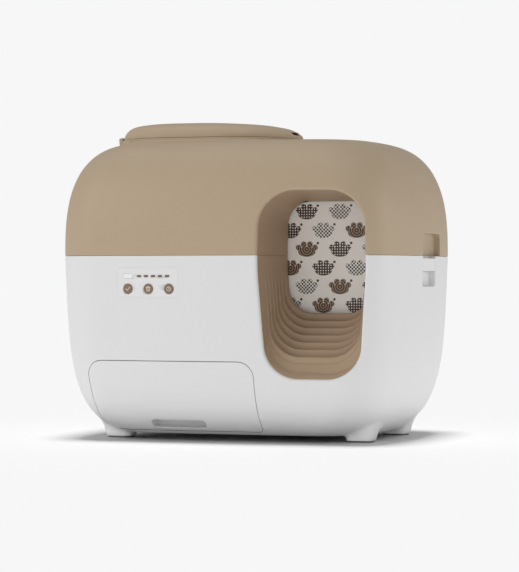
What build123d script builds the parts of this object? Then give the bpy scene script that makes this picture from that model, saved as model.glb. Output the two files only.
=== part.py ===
"""Self-cleaning cat litter box with a lift-off hood.

Millimetres. +Z is up, the front faces -Y and +X is to the viewer's right. The origin is on the
floor, under the middle of the box.
"""

from build123d import *
import math
import os

# ---------------------------------------------------------------- outer body
HALF_WIDTH = 315.5       # at the seam, where the body is widest
HALF_DEPTH = 247.0
SIDE_BOW = 27.0          # how far the bowed sides stand out past the corner points
FRONT_BOW = 12.4
CORNER_R = 88.4
SEAM_Z = 320.0
TOP_Z = 520.0
FLOOR_Z = 12.0           # flat underside of the base, between the feet
WALL = 4.0
BASE_FLOOR = 6.0
SHOULDER_INSET = 126.7   # from the widest section to the flat top
SHOULDER_POWER = 2.79    # superellipse exponent of the hood's shoulder
BELLY_INSET = 218.4
BELLY_POWER = 4.48
BELLY_BOTTOM = -0.9      # where the belly curve would reach its lowest point
BELLY_DRAFT = 11.4
HOOD_STEPS = 8
BASE_LEVELS = (320, 240, 170, 125, 95, 70, 50, 35, 24, 18, 12)
FIT_GAP = 0.3            # between pieces of different bodies
SEAT_GAP = 0.2           # between a liner piece and the curved shell that it lines

# --------------------------------------------------------------------- entry
ENTRY_X = 171.3
ENTRY_TOP_Z = (429.0, 413.0)         # at the front, at the doorway
ENTRY_WAIST_Z = (300.0, 312.0)
ENTRY_BOTTOM_Z = (111.5, 220.5)
ENTRY_TOP_HALF = (89.0, 78.0)
ENTRY_WAIST_HALF = (92.6, 81.0)
ENTRY_BOTTOM_HALF = (79.0, 74.0)
ENTRY_TOP_R = (62.0, 42.0)
ENTRY_BOTTOM_R = (58.0, 48.0)
ENTRY_WAIST_R = 500.0
FRONT_PLANE_Y = -262.0
DOORWAY_Y = -119.0
FIRST_RISER_Y = -211.0
FIRST_RISER_T = 0.23                 # share of the climb made by the sloping sill
STAIR_COUNT = 8
LINER_WALL = 3.5
RIM_DEPTH = 4.0
RIM_GROW = 10.0

# ---------------------------------------------------------------------- flap
FLAP_AXIS_Y = -108.0
FLAP_AXIS_Z = 424.0
FLAP_THICK = 3.0
FLAP_GROW = 2.5
FLAP_ROD_R = 2.5
FLAP_BARREL_R = 5.0
FLAP_BARREL_HALF = 36.0
SHAFT_GAP = 0.05                     # running fit, on the radius

# --------------------------------------------------------------- lid on top
LID_X = -86.5
LID_LENGTH = 317.0
LID_WIDTH = 252.0
LID_R = 112.0
COLLAR_GROW = 3.0
COLLAR_TOP_Z = 527.0
PORT_GROW = -16.0
LID_BASE_Z = 527.4
LID_WALL = 3.0
LID_HINGE_X = -249.0
LID_HINGE_Z = 529.5
LID_ROD_R = 2.0
LID_BARREL_R = 4.5
LID_LUG_R = 3.6
LID_HOLLOW = 0.89        # height of the lid's hollow, as a share of its outside
COLLAR_FOOT_Z = 470.0
INNER_TOP_Z = 530.5
FINGER_SLOT_Z = 537.0
# height, length taken off the left and the right end, width taken off in all, corner radius
LID_LEVELS = (
    (527.4, 0.0, 0.0, 0.0, 112.0),
    (534.0, 0.5, 1.5, 2.0, 111.0),
    (541.0, 4.0, 9.0, 9.0, 108.0),
    (547.5, 12.0, 26.0, 24.0, 100.0),
    (552.0, 25.0, 54.0, 48.0, 88.0),
    (555.0, 48.0, 96.0, 88.0, 68.0),
)

# -------------------------------------------------------------- waste drawer
DRAWER_TOP_Z = 139.0
DRAWER_LEFT_X = -239.5
DRAWER_RIGHT_X = 69.0
DRAWER_FOOT_Z = 18.0
DRAWER_FOOT_X = -231.5
HANDLE_X = -81.0
HANDLE_Z = 30.5
HANDLE_LENGTH = 101.0
HANDLE_HEIGHT = 13.0
HANDLE_POCKET_Y = -160.0
HANDLE_WALL = 3.0
TRAY_LEFT_X = -225.0
TRAY_RIGHT_X = 54.0
TRAY_FRONT_Y = -244.0
TRAY_BACK_Y = 140.0
TRAY_BOTTOM_Z = 42.0
TRAY_TOP_Z = 132.0
TRAY_R = 40.0
TRAY_WALL = 2.5
TRAY_GAP = 1.2
DRAWER_GAP = 1.0

# ------------------------------------------------------------- control panel
PANEL_X = -118.3
PANEL_Z = 273.8
PANEL_WIDTH = 111.0
PANEL_HEIGHT = 50.0
PANEL_R = 5.0
PANEL_THICK = 2.4
BUTTON_X = -117.3
BUTTON_Z = 263.0
BUTTON_PITCH = 38.1
BUTTON_R = 8.5
BUTTON_BACK_Y = -232.0
BUTTON_FLANGE = 2.6
LIGHT_Z = 284.7
LIGHT_X = -155.3
LIGHT_SIZE = (17.0, 8.0)
LEVEL_X = -134.3         # the first of five level marks
LEVEL_PITCH = 13.0
LEVEL_SIZE = (8.0, 3.6)
LEVEL_R = 1.2
PANEL_CUT_Y = -225.0     # the panel cutters end here, behind the front wall
BOARD_Y = -228.0

# ------------------------------------------- power inlet, service cover, floor
INLET_X = -200.0
INLET_Y = 224.5
INLET_Z = 172.0
INLET_WIDTH = 26.0
INLET_HEIGHT = 16.0
COVER_X = 152.0
COVER_Y = 10.0
COVER_SIZE = 150.0
COVER_THICK = 3.0
CORRIDOR_Z = 207.0
CORRIDOR_LEFT_X = 52.0

# ------------------------------------------------------ hand-holds, latches
HOLD_Y = 13.5
HOLD_LENGTH = 117.0
HOLD_TOP_Z = 359.0
HOLD_FLOOR_X = 301.5
GRIP_Y = -3.5
GRIP_LENGTH = 83.0
GRIP_BOTTOM_Z = 267.0
LATCH_BOTTOM_Z = 294.0
LATCH_TOP_Z = 316.0
LATCH_AXIS_X = 308.5
LATCH_BACK_X = 304.5
LATCH_AXIS_Z = 311.0
LATCH_PIN_R = 1.5
POCKET_WALL = 4.0

# -------------------------------------------------------------- drum, drive
DRUM_Z = 330.0
DRUM_R = 165.0
DRUM_WALL = 3.0
DRUM_LEFT_X = -238.0
DRUM_RIGHT_X = 30.0
DRUM_END_R = 40.0
MOUTH_R = 122.0
AXLE_R = 15.0
GEAR_MODULE = 4.0
GEAR_TEETH = 86
PINION_TEETH = 14
GEAR_X = 8.0
GEAR_WIDTH = 12.0
PINION_ANGLE = -40.0     # below the horizontal, towards the back
ROLLER_R = 16.0
ROLLER_ANGLE = -55.0
ROLLER_X = -22.0
ROLLER_WIDTH = 16.0
ROLLER_PIN_R = 4.0
DECK_Z = 142.0
BEARING_X = -262.0
MOTOR_X = -58.0
PINION_SHAFT_R = 4.0
GEAR_BACKLASH = 0.6
RING_HALF_TOOTH = 2.75
PINION_HALF_TOOTH = 2.3
CHUTE_X = -95.0
CHUTE_LENGTH = 130.0
CHUTE_WIDTH = 130.0
PORT_X = -95.0
PORT_LENGTH = 110.0
PORT_WIDTH = 110.0
LINER_ARC = 130.0
LINER_LEFT_X = -195.0
SIEVE_X = -85.0
SIEVE_RISE = 115.0
SIEVE_LENGTH = 210.0
SIEVE_WIDTH = 224.0
SENSOR_X = 127.0
SENSOR_Y = -126.0
SENSOR_Z = 418.5

# ---------------------------------------------------------------------- feet
FOOT_X = 221.7
FOOT_Y = 108.2
PAD_HEIGHT = 3.0
# height, length, width, corner radius, how far the foot leans in
FOOT_LEVELS = (
    (PAD_HEIGHT, 46.0, 42.0, 12.0, 0.0),
    (16.0, 54.0, 50.0, 15.0, 2.0),
    (44.0, 62.0, 58.0, 20.0, 6.0),
)


def export(piece, label):
    """Label a finished piece and write it."""
    piece.label = label
    export_step(piece, f"parts/{label}.step")


def belly_inset(z):
    """How far the base is drawn in at height z."""
    fall = (SEAM_Z - z) / (SEAM_Z - BELLY_BOTTOM)
    return BELLY_INSET * (1 - (1 - fall**BELLY_POWER) ** (1 / BELLY_POWER)) + BELLY_DRAFT * fall


def body_section(z, inset):
    """Rounded rectangle with bowed sides, at height z."""
    a = HALF_WIDTH - inset
    b = HALF_DEPTH - inset
    corner_x = a - SIDE_BOW * a / HALF_WIDTH
    corner_y = b - FRONT_BOW * b / HALF_DEPTH
    with BuildSketch(Plane.XY.offset(z)) as section:
        with BuildLine():
            ThreePointArc((-corner_x, -corner_y), (0, -b), (corner_x, -corner_y))
            ThreePointArc((corner_x, -corner_y), (a, 0), (corner_x, corner_y))
            ThreePointArc((corner_x, corner_y), (0, b), (-corner_x, corner_y))
            ThreePointArc((-corner_x, corner_y), (-a, 0), (-corner_x, -corner_y))
        make_face()
        fillet(section.vertices(), CORNER_R)
    return section.sketch


def hood_form(skin):
    """Solid form of the hood, drawn in by skin on every side."""
    sections = []
    for step in range(HOOD_STEPS + 1):
        turn = math.radians(90 * step / HOOD_STEPS)
        rise = math.sin(turn) ** (2 / SHOULDER_POWER)
        drawn_in = SHOULDER_INSET * (1 - math.cos(turn) ** (2 / SHOULDER_POWER))
        sections.append(body_section(SEAM_Z + (TOP_Z - skin - SEAM_Z) * rise, drawn_in + skin))
    with BuildPart() as form:
        loft(sections, ruled=True)
    return form.part


def base_form(skin, floor=0.0):
    """Solid form of the base, drawn in by skin, starting at a height floor above the underside."""
    lowest = FLOOR_Z + floor
    levels = [z for z in BASE_LEVELS if z > lowest + 2] + [lowest]
    with BuildPart() as form:
        loft([body_section(z, belly_inset(z) + skin) for z in levels], ruled=True)
    return form.part


def entry_size(pair, t):
    """A dimension of the entry at the share t of the way in."""
    return pair[0] + (pair[1] - pair[0]) * t


def entry_outline(t, y, grow=0.0):
    """Outline of the entry in the plane at depth y."""
    top_z = entry_size(ENTRY_TOP_Z, t)
    waist_z = entry_size(ENTRY_WAIST_Z, t)
    bottom_z = entry_size(ENTRY_BOTTOM_Z, t)
    top_half = entry_size(ENTRY_TOP_HALF, t)
    waist_half = entry_size(ENTRY_WAIST_HALF, t)
    bottom_half = entry_size(ENTRY_BOTTOM_HALF, t)
    with BuildSketch(Plane.XZ.offset(-y)) as outline:
        with BuildLine():
            Polyline(
                (ENTRY_X - top_half, top_z),
                (ENTRY_X - waist_half, waist_z),
                (ENTRY_X - bottom_half, bottom_z),
                (ENTRY_X + bottom_half, bottom_z),
                (ENTRY_X + waist_half, waist_z),
                (ENTRY_X + top_half, top_z),
                close=True,
            )
        make_face()
        fillet(outline.vertices().group_by(Axis.Y)[-1], entry_size(ENTRY_TOP_R, t))
        fillet(outline.vertices().group_by(Axis.Y)[0], entry_size(ENTRY_BOTTOM_R, t))
        waist = outline.vertices().filter_by_position(Axis.Y, waist_z - 1, waist_z + 1)
        fillet(waist, ENTRY_WAIST_R)
        if grow:
            offset(amount=grow)
    return outline.sketch


def entry_prism(grow=0.0):
    """Straight cutter through the front wall, as large as the mouth of the entry."""
    with BuildPart() as prism:
        extrude(entry_outline(0, DOORWAY_Y - 31, grow), amount=DOORWAY_Y - 31 - FRONT_PLANE_Y)
    return prism.part


def stair_levels():
    """Share t of the climb and the depths at which each tread starts and ends."""
    tread = (DOORWAY_Y - FIRST_RISER_Y) / (STAIR_COUNT - 1)
    levels = [(0.0, FRONT_PLANE_Y, FIRST_RISER_Y)]
    for step in range(STAIR_COUNT - 1):
        t = FIRST_RISER_T + (1 - FIRST_RISER_T) * step / (STAIR_COUNT - 1)
        levels.append((t, FIRST_RISER_Y + step * tread, FIRST_RISER_Y + (step + 1) * tread))
    return levels


def stair_form(grow, reach):
    """The stepped funnel of the entry, grown outwards and carried on past each riser by reach."""
    with BuildPart() as form:
        for t, start_y, end_y in stair_levels():
            extrude(entry_outline(t, end_y + reach, grow), amount=end_y + reach - start_y)
    return form.part


def funnel_form(grow):
    """The smooth funnel of the entry's upper half, from the front to the doorway."""
    with BuildPart() as form:
        loft([entry_outline(1, DOORWAY_Y, grow), entry_outline(0, FRONT_PLANE_Y + 10, grow)])
    return form.part


def doorway_ring():
    """Flat rim around the doorway, which stops the flap."""
    with BuildPart() as ring:
        extrude(entry_outline(1, DOORWAY_Y + RIM_DEPTH, RIM_GROW), amount=RIM_DEPTH)
        extrude(entry_outline(1, DOORWAY_Y + RIM_DEPTH), amount=RIM_DEPTH, mode=Mode.SUBTRACT)
    return ring.part


def drawer_outline(grow=0.0):
    """Front outline of the waste drawer."""
    with BuildSketch(Plane.XZ) as outline:
        with BuildLine():
            Polyline(
                (DRAWER_LEFT_X, DRAWER_TOP_Z),
                (DRAWER_RIGHT_X - 1, DRAWER_TOP_Z),
                (DRAWER_RIGHT_X, DRAWER_FOOT_Z),
                (DRAWER_FOOT_X, DRAWER_FOOT_Z),
                close=True,
            )
        make_face()
        fillet(outline.vertices().group_by(Axis.Y)[-1], 27)
        fillet(outline.vertices().group_by(Axis.Y)[0], 8)
        if grow:
            offset(amount=grow)
    return outline.sketch


def drawer_prism(grow=0.0):
    """Cutter for the drawer's front, through the front wall and round the corner."""
    with BuildPart() as prism:
        extrude(drawer_outline(grow), amount=-FRONT_PLANE_Y)
        Box(700, 120, 400, mode=Mode.SUBTRACT)
    return prism.part


def tray_plan(z, skin=0.0):
    """Plan of the drawer's tray, drawn in by skin, at height z."""
    with BuildSketch(Plane.XY.offset(z)) as plan:
        with Locations(((TRAY_LEFT_X + TRAY_RIGHT_X) / 2, (TRAY_FRONT_Y + TRAY_BACK_Y) / 2)):
            length = TRAY_RIGHT_X - TRAY_LEFT_X - 2 * skin
            depth = TRAY_BACK_Y - TRAY_FRONT_Y - 2 * skin
            RectangleRounded(length, depth, TRAY_R - skin)
    return plan.sketch


def tray_space():
    """The space inside the drawer's tray."""
    with BuildPart() as space:
        extrude(tray_plan(TRAY_BOTTOM_Z + TRAY_WALL, TRAY_WALL), amount=TRAY_TOP_Z)
        add(base_form(WALL + TRAY_GAP + TRAY_WALL), mode=Mode.INTERSECT)
    return space.part


def panel_prism(grow):
    """Cutter for the control panel, through the front wall."""
    with BuildPart() as prism:
        with BuildSketch(Plane.XZ.offset(-PANEL_CUT_Y)):
            with Locations((PANEL_X, PANEL_Z)):
                RectangleRounded(PANEL_WIDTH + 2 * grow, PANEL_HEIGHT + 2 * grow, PANEL_R + grow)
        extrude(amount=PANEL_CUT_Y - FRONT_PLANE_Y)
    return prism.part


def light_prism(grow):
    """Cutter for the status light in the panel."""
    with BuildPart() as prism:
        with BuildSketch(Plane.XZ.offset(-PANEL_CUT_Y)):
            with Locations((LIGHT_X, LIGHT_Z)):
                SlotOverall(LIGHT_SIZE[0] + 2 * grow, LIGHT_SIZE[1] + 2 * grow)
        extrude(amount=PANEL_CUT_Y - FRONT_PLANE_Y)
    return prism.part


def level_prism(grow):
    """Cutter for the row of level marks beside the status light."""
    with BuildPart() as prism:
        with BuildSketch(Plane.XZ.offset(-PANEL_CUT_Y)):
            for place in range(5):
                with Locations((LEVEL_X + LEVEL_PITCH * place, LIGHT_Z)):
                    RectangleRounded(LEVEL_SIZE[0] + 2 * grow, LEVEL_SIZE[1] + 2 * grow, LEVEL_R + grow)
        extrude(amount=PANEL_CUT_Y - FRONT_PLANE_Y)
    return prism.part


def lid_section(level, skin=0.0):
    """Rounded rectangle of the lid at one level, drawn in by skin."""
    z, left, right, width, radius = level
    length = LID_LENGTH - left - right - 2 * skin
    with BuildSketch(Plane.XY.offset(z)) as section:
        with Locations((LID_X + (left - right) / 2, 0)):
            RectangleRounded(length, LID_WIDTH - width - 2 * skin, radius - skin)
    return section.sketch


def lid_plan(z, grow):
    """Plan outline of the collar or the port, at height z."""
    with BuildSketch(Plane.XY.offset(z)) as plan:
        with Locations((LID_X, 0)):
            RectangleRounded(LID_LENGTH + 2 * grow, LID_WIDTH + 2 * grow, LID_R + grow)
    return plan.sketch


def side_block(y, length, low_z, high_z, floor_x, out_x=330.0):
    """Box from floor_x outwards on both sides of the body."""
    with BuildPart() as block:
        for side in (-1, 1):
            middle = ((floor_x + out_x) / 2 * side, y, (low_z + high_z) / 2)
            with Locations(middle):
                Box(out_x - floor_x, length, high_z - low_z)
    return block.part


def button_places():
    """The three buttons' centres, from left to right."""
    return [BUTTON_X + BUTTON_PITCH * place for place in (-1, 0, 1)]


def front_rods(centres, radius, near_y, far_y):
    """Round rods along Y through the front wall, at the (x, z) centres."""
    with BuildPart() as rods:
        with BuildSketch(Plane.XZ.offset(-far_y)):
            with Locations(*centres):
                Circle(radius)
        extrude(amount=far_y - near_y)
    return rods.part


def gear_sketch(teeth, half_at_pitch, clearance, plane):
    """Disc with straight-flanked teeth; the first tooth points along the plane's X."""
    pitch_r = GEAR_MODULE * teeth / 2
    root_r = pitch_r - 1.25 * GEAR_MODULE
    tip_r = pitch_r + GEAR_MODULE - clearance
    slope = math.tan(math.radians(20))
    half_root = half_at_pitch + (pitch_r - root_r) * slope
    half_tip = half_at_pitch - (tip_r - pitch_r) * slope
    with BuildSketch(plane) as gear:
        Circle(root_r)
        with PolarLocations(0, teeth):
            with BuildLine():
                Polyline(
                    (root_r - 1, -half_root),
                    (tip_r, -half_tip),
                    (tip_r, half_tip),
                    (root_r - 1, half_root),
                    close=True,
                )
            make_face()
    return gear.sketch


def around_drum(distance, angle):
    """(y, z) of a point beside the drum, at this angle from the horizontal."""
    turn = math.radians(angle)
    return distance * math.cos(turn), DRUM_Z + distance * math.sin(turn)


def drum_plane(x):
    """Plane across the drum's axis; its X points to the back and its Y points up."""
    return Plane(origin=(x, 0, DRUM_Z), x_dir=(0, 1, 0), z_dir=(1, 0, 0))


def across_plane(x, y, z, angle=0.0):
    """Plane across an axis along X through (y, z), turned by angle about it."""
    turn = math.radians(angle)
    return Plane(origin=(x, y, z), x_dir=(0, math.cos(turn), math.sin(turn)), z_dir=(1, 0, 0))


os.makedirs("parts", exist_ok=True)

hood_outside = hood_form(0)
hood_inside = hood_form(WALL)
base_outside = base_form(0)
base_inside = base_form(WALL, BASE_FLOOR)
entry_mouth = entry_prism()
button_centres = [(x, BUTTON_Z) for x in button_places()]
button_holes = front_rods(button_centres, BUTTON_R + FIT_GAP, FRONT_PLANE_Y, BUTTON_BACK_Y + 3)

# ================================================================ the base
# Shell with moulded feet, side pockets, board posts and the openings of the front
hold_pocket_x = HOLD_FLOOR_X - POCKET_WALL

with BuildPart() as base_shell:
    add(base_outside)
    for x in (-FOOT_X, FOOT_X):
        for y in (-FOOT_Y, FOOT_Y):
            for height, length, width, radius, lean in FOOT_LEVELS:
                with BuildSketch(Plane.XY.offset(height)):
                    with Locations((x - math.copysign(lean, x), y - math.copysign(lean, y))):
                        RectangleRounded(length, width, radius)
            loft()
    add(base_inside, mode=Mode.SUBTRACT)
    pockets = side_block(GRIP_Y, GRIP_LENGTH + 2 * POCKET_WALL, GRIP_BOTTOM_Z - POCKET_WALL,
                         SEAM_Z, hold_pocket_x)
    add(pockets & base_outside)
    hold_floor = side_block(HOLD_Y, HOLD_LENGTH + 2 * POCKET_WALL, SEAM_Z - 6, SEAM_Z, hold_pocket_x)
    add(hold_floor & base_outside)
    add(side_block(GRIP_Y, GRIP_LENGTH, GRIP_BOTTOM_Z, LATCH_TOP_Z + 2, HOLD_FLOOR_X), mode=Mode.SUBTRACT)
    for side in (-1, 1):
        with BuildSketch(Plane.XZ.offset(-GRIP_Y - GRIP_LENGTH / 2 - POCKET_WALL)):
            with Locations((side * LATCH_AXIS_X, LATCH_AXIS_Z)):
                Circle(LATCH_PIN_R)
        extrude(amount=GRIP_LENGTH + 2 * POCKET_WALL, mode=Mode.SUBTRACT)
    board_posts = [(PANEL_X + x, PANEL_Z + z) for x in (-53, 53) for z in (-21, 21)]
    add(front_rods(board_posts, 3, FRONT_PLANE_Y, BOARD_Y) & base_outside)
    add(panel_prism(0.15) - base_form(PANEL_THICK + 0.1), mode=Mode.SUBTRACT)
    add(button_holes, mode=Mode.SUBTRACT)
    with Locations((INLET_X, INLET_Y, INLET_Z)):
        Box(INLET_WIDTH, 60, INLET_HEIGHT, mode=Mode.SUBTRACT)
    with Locations((COVER_X, COVER_Y, FLOOR_Z)):
        Box(COVER_SIZE + 0.6, COVER_SIZE + 0.6, 2 * COVER_THICK, mode=Mode.SUBTRACT)
        Box(COVER_SIZE - 20, COVER_SIZE - 20, 4 * BASE_FLOOR, mode=Mode.SUBTRACT)
    with BuildSketch(Plane.XY.offset(FLOOR_Z + COVER_THICK)):
        with Locations((COVER_X, COVER_Y)):
            with GridLocations(COVER_SIZE - 10, COVER_SIZE - 10, 2, 2):
                Circle(4.5)
    extrude(amount=12)
    with BuildSketch(Plane.XY.offset(FLOOR_Z)):
        with Locations((COVER_X, COVER_Y)):
            with GridLocations(COVER_SIZE - 10, COVER_SIZE - 10, 2, 2):
                Circle(1.5)
    extrude(amount=13, mode=Mode.SUBTRACT)
    add(entry_mouth, mode=Mode.SUBTRACT)
    add(drawer_prism(DRAWER_GAP), mode=Mode.SUBTRACT)
export(base_shell.part, "base_shell")

with BuildPart() as bottom_cover:
    with Locations((COVER_X, COVER_Y, FLOOR_Z + COVER_THICK / 2)):
        Box(COVER_SIZE, COVER_SIZE, COVER_THICK)
        with Locations((0, 0, -COVER_THICK / 2)):
            with GridLocations(COVER_SIZE - 10, COVER_SIZE - 10, 2, 2):
                Cylinder(3.2, 3.2, mode=Mode.SUBTRACT)
                Cylinder(1.7, 10, mode=Mode.SUBTRACT)
    fillet(bottom_cover.edges().filter_by(Axis.Z).group_by(SortBy.LENGTH)[-1][:4], 0.2)
export(bottom_cover.part, "bottom_cover")

with BuildPart() as cover_screws:
    with BuildSketch(Plane.XY.offset(FLOOR_Z)):
        with Locations((COVER_X, COVER_Y)):
            with GridLocations(COVER_SIZE - 10, COVER_SIZE - 10, 2, 2):
                Circle(3)
    extrude(amount=1.6)
    with BuildSketch(Plane.XY.offset(FLOOR_Z)):
        with Locations((COVER_X, COVER_Y)):
            with GridLocations(COVER_SIZE - 10, COVER_SIZE - 10, 2, 2):
                Circle(1.5)
    extrude(amount=12)
export(cover_screws.part, "cover_screws")

with BuildPart() as foot_pads:
    with BuildSketch():
        with GridLocations(2 * FOOT_X, 2 * FOOT_Y, 2, 2):
            RectangleRounded(42, 38, 11)
    extrude(amount=PAD_HEIGHT)
export(foot_pads.part, "foot_pads")

with BuildPart() as weight_sensors:
    with Locations((0, 0, FLOOR_Z + BASE_FLOOR + 5)):
        with GridLocations(2 * 185, 2 * 85, 2, 2):
            Box(40, 14, 10)
export(weight_sensors.part, "weight_sensors")

with BuildPart() as drawer_rails:
    for x in (-130, -50):
        with Locations((x, 0, (FLOOR_Z + BASE_FLOOR + TRAY_BOTTOM_Z - FIT_GAP) / 2)):
            Box(10, 230, TRAY_BOTTOM_Z - FIT_GAP - FLOOR_Z - BASE_FLOOR)
export(drawer_rails.part, "drawer_rails")

with BuildPart() as entry_steps:
    add(stair_form(LINER_WALL, LINER_WALL))
    add(doorway_ring())
    add(stair_form(0, 0), mode=Mode.SUBTRACT)
    extrude(entry_outline(1, DOORWAY_Y + 2 * RIM_DEPTH), amount=3 * RIM_DEPTH, mode=Mode.SUBTRACT)
    add(base_form(WALL + SEAT_GAP, BASE_FLOOR), mode=Mode.INTERSECT)
export(entry_steps.part, "entry_steps")

with BuildPart() as corridor_floor:
    with Locations(((CORRIDOR_LEFT_X + 306) / 2, 60, CORRIDOR_Z - 2)):
        Box(306 - CORRIDOR_LEFT_X, 342, 4)
    for x in (CORRIDOR_LEFT_X + 10, 246):
        with Locations((x, 22, (FLOOR_Z + BASE_FLOOR + CORRIDOR_Z) / 2)):
            Box(4, 205, CORRIDOR_Z - FLOOR_Z - BASE_FLOOR)
    add(base_form(WALL + 0.5, BASE_FLOOR + 0.1), mode=Mode.INTERSECT)
export(corridor_floor.part, "corridor_floor")

with BuildPart() as seam_gasket:
    extrude(body_section(SEAM_Z - 6, WALL + 0.5), amount=5.6)
    extrude(body_section(SEAM_Z - 6, WALL + 3.5), amount=5.6, mode=Mode.SUBTRACT)
    with Locations((ENTRY_X, FIRST_RISER_Y, SEAM_Z)):
        Box(2 * (ENTRY_WAIST_HALF[0] + LINER_WALL + 4), 120, 40, mode=Mode.SUBTRACT)
    add(side_block(HOLD_Y, HOLD_LENGTH + 12, 300, 330, 280), mode=Mode.SUBTRACT)
export(seam_gasket.part, "seam_gasket")

# ------------------------------------------------------------- control panel
with BuildPart() as control_panel:
    add(panel_prism(0) & base_outside)
    add(base_form(PANEL_THICK), mode=Mode.SUBTRACT)
    add(button_holes, mode=Mode.SUBTRACT)
    add(light_prism(0.1), mode=Mode.SUBTRACT)
    add(level_prism(0.1), mode=Mode.SUBTRACT)
export(control_panel.part, "control_panel")

with BuildPart() as status_light:
    add(light_prism(0) & base_form(-0.4))
    add(base_form(PANEL_THICK), mode=Mode.SUBTRACT)
export(status_light.part, "status_light")

with BuildPart() as level_bars:
    add(level_prism(0) & base_form(-0.3))
    add(base_form(PANEL_THICK), mode=Mode.SUBTRACT)
export(level_bars.part, "level_bars")

for button_x, button_name in zip(button_places(), ("button_clean", "button_empty", "button_menu")):
    with BuildPart() as button:
        centre = [(button_x, BUTTON_Z)]
        add(front_rods(centre, BUTTON_R, FRONT_PLANE_Y, BUTTON_BACK_Y) & base_form(-0.8))
        add(front_rods(centre, BUTTON_R + 2, BUTTON_BACK_Y - BUTTON_FLANGE, BUTTON_BACK_Y))
    export(button.part, button_name)

with BuildPart() as control_board:
    with Locations((PANEL_X, BOARD_Y + 0.8, PANEL_Z)):
        Box(PANEL_WIDTH + 4, 1.6, PANEL_HEIGHT)
    for button_x in button_places():
        with Locations((button_x, BOARD_Y - 1.3, BUTTON_Z)):
            Box(6, 2.6, 6)
export(control_board.part, "control_board")

with BuildPart() as power_inlet:
    with Locations((INLET_X, INLET_Y, INLET_Z)):
        Box(INLET_WIDTH - 0.4, 24, INLET_HEIGHT - 0.4)
    add(base_outside, mode=Mode.INTERSECT)
    with BuildSketch(Plane.XZ.offset(-INLET_Y)):
        with Locations((INLET_X, INLET_Z)):
            Circle(2.8)
            Circle(0.8, mode=Mode.SUBTRACT)
    extrude(amount=-20, mode=Mode.SUBTRACT)
export(power_inlet.part, "power_inlet")

# ------------------------------------------------------------------- latches
for side, latch_name in ((-1, "latch_left"), (1, "latch_right")):
    with BuildPart() as latch:
        add(side_block(GRIP_Y, GRIP_LENGTH - 0.8, LATCH_BOTTOM_Z, LATCH_TOP_Z, LATCH_BACK_X) & base_outside)
        split(bisect_by=Plane.YZ, keep=Keep.TOP if side > 0 else Keep.BOTTOM)
        with BuildSketch(Plane.XZ.offset(-GRIP_Y - GRIP_LENGTH / 2)):
            with Locations((side * LATCH_AXIS_X, LATCH_AXIS_Z)):
                Circle(LATCH_PIN_R + SHAFT_GAP)
        extrude(amount=GRIP_LENGTH, mode=Mode.SUBTRACT)
    export(latch.part, latch_name)

with BuildPart() as latch_pins:
    with BuildSketch(Plane.XZ.offset(-GRIP_Y - GRIP_LENGTH / 2 - POCKET_WALL + 0.2)):
        with Locations((-LATCH_AXIS_X, LATCH_AXIS_Z), (LATCH_AXIS_X, LATCH_AXIS_Z)):
            Circle(LATCH_PIN_R)
    extrude(amount=GRIP_LENGTH + 2 * POCKET_WALL - 0.4)
export(latch_pins.part, "latch_pins")

# ============================================================ waste drawer
with BuildPart() as drawer_front:
    add(drawer_prism() & base_outside)
    add(base_form(WALL), mode=Mode.SUBTRACT)
    with BuildSketch(Plane.XZ.offset(-HANDLE_POCKET_Y - 10)):
        with Locations((HANDLE_X, HANDLE_Z)):
            SlotOverall(HANDLE_LENGTH, HANDLE_HEIGHT)
    extrude(amount=80, mode=Mode.SUBTRACT)
export(drawer_front.part, "drawer_front")

with BuildPart() as handle_pocket:
    with BuildSketch(Plane.XZ.offset(-HANDLE_POCKET_Y)):
        with Locations((HANDLE_X, HANDLE_Z)):
            SlotOverall(HANDLE_LENGTH + 2 * HANDLE_WALL, HANDLE_HEIGHT + 2 * HANDLE_WALL)
    extrude(amount=80)
    with BuildSketch(Plane.XZ.offset(-HANDLE_POCKET_Y + HANDLE_WALL)):
        with Locations((HANDLE_X, HANDLE_Z)):
            SlotOverall(HANDLE_LENGTH, HANDLE_HEIGHT)
    extrude(amount=80, mode=Mode.SUBTRACT)
    add(base_form(WALL + SEAT_GAP), mode=Mode.INTERSECT)
export(handle_pocket.part, "drawer_handle_pocket")

with BuildPart() as drawer_tray:
    extrude(tray_plan(TRAY_BOTTOM_Z), amount=TRAY_TOP_Z - TRAY_BOTTOM_Z)
    add(base_form(WALL + TRAY_GAP), mode=Mode.INTERSECT)
    add(tray_space(), mode=Mode.SUBTRACT)
export(drawer_tray.part, "drawer_tray")

# ================================================== cradle, drive and rollers
roller_y, roller_z = around_drum(DRUM_R + ROLLER_R + FIT_GAP, ROLLER_ANGLE)
pinion_y, pinion_z = around_drum(
    GEAR_MODULE * (GEAR_TEETH + PINION_TEETH) / 2 + GEAR_BACKLASH, PINION_ANGLE
)
motor_screw_places = [
    (pinion_y + 18 * math.cos(math.radians(turn)), pinion_z + 18 * math.sin(math.radians(turn)))
    for turn in (-20, -90, -160)
]


def x_rods(centres, radius, start_x, end_x):
    """Round rods along X at the (y, z) centres."""
    with BuildPart() as rods:
        with BuildSketch(Plane.YZ.offset(start_x)):
            with Locations(*centres):
                Circle(radius)
        extrude(amount=end_x - start_x)
    return rods.part


roller_centres = [(-roller_y, roller_z), (roller_y, roller_z)]

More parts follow.
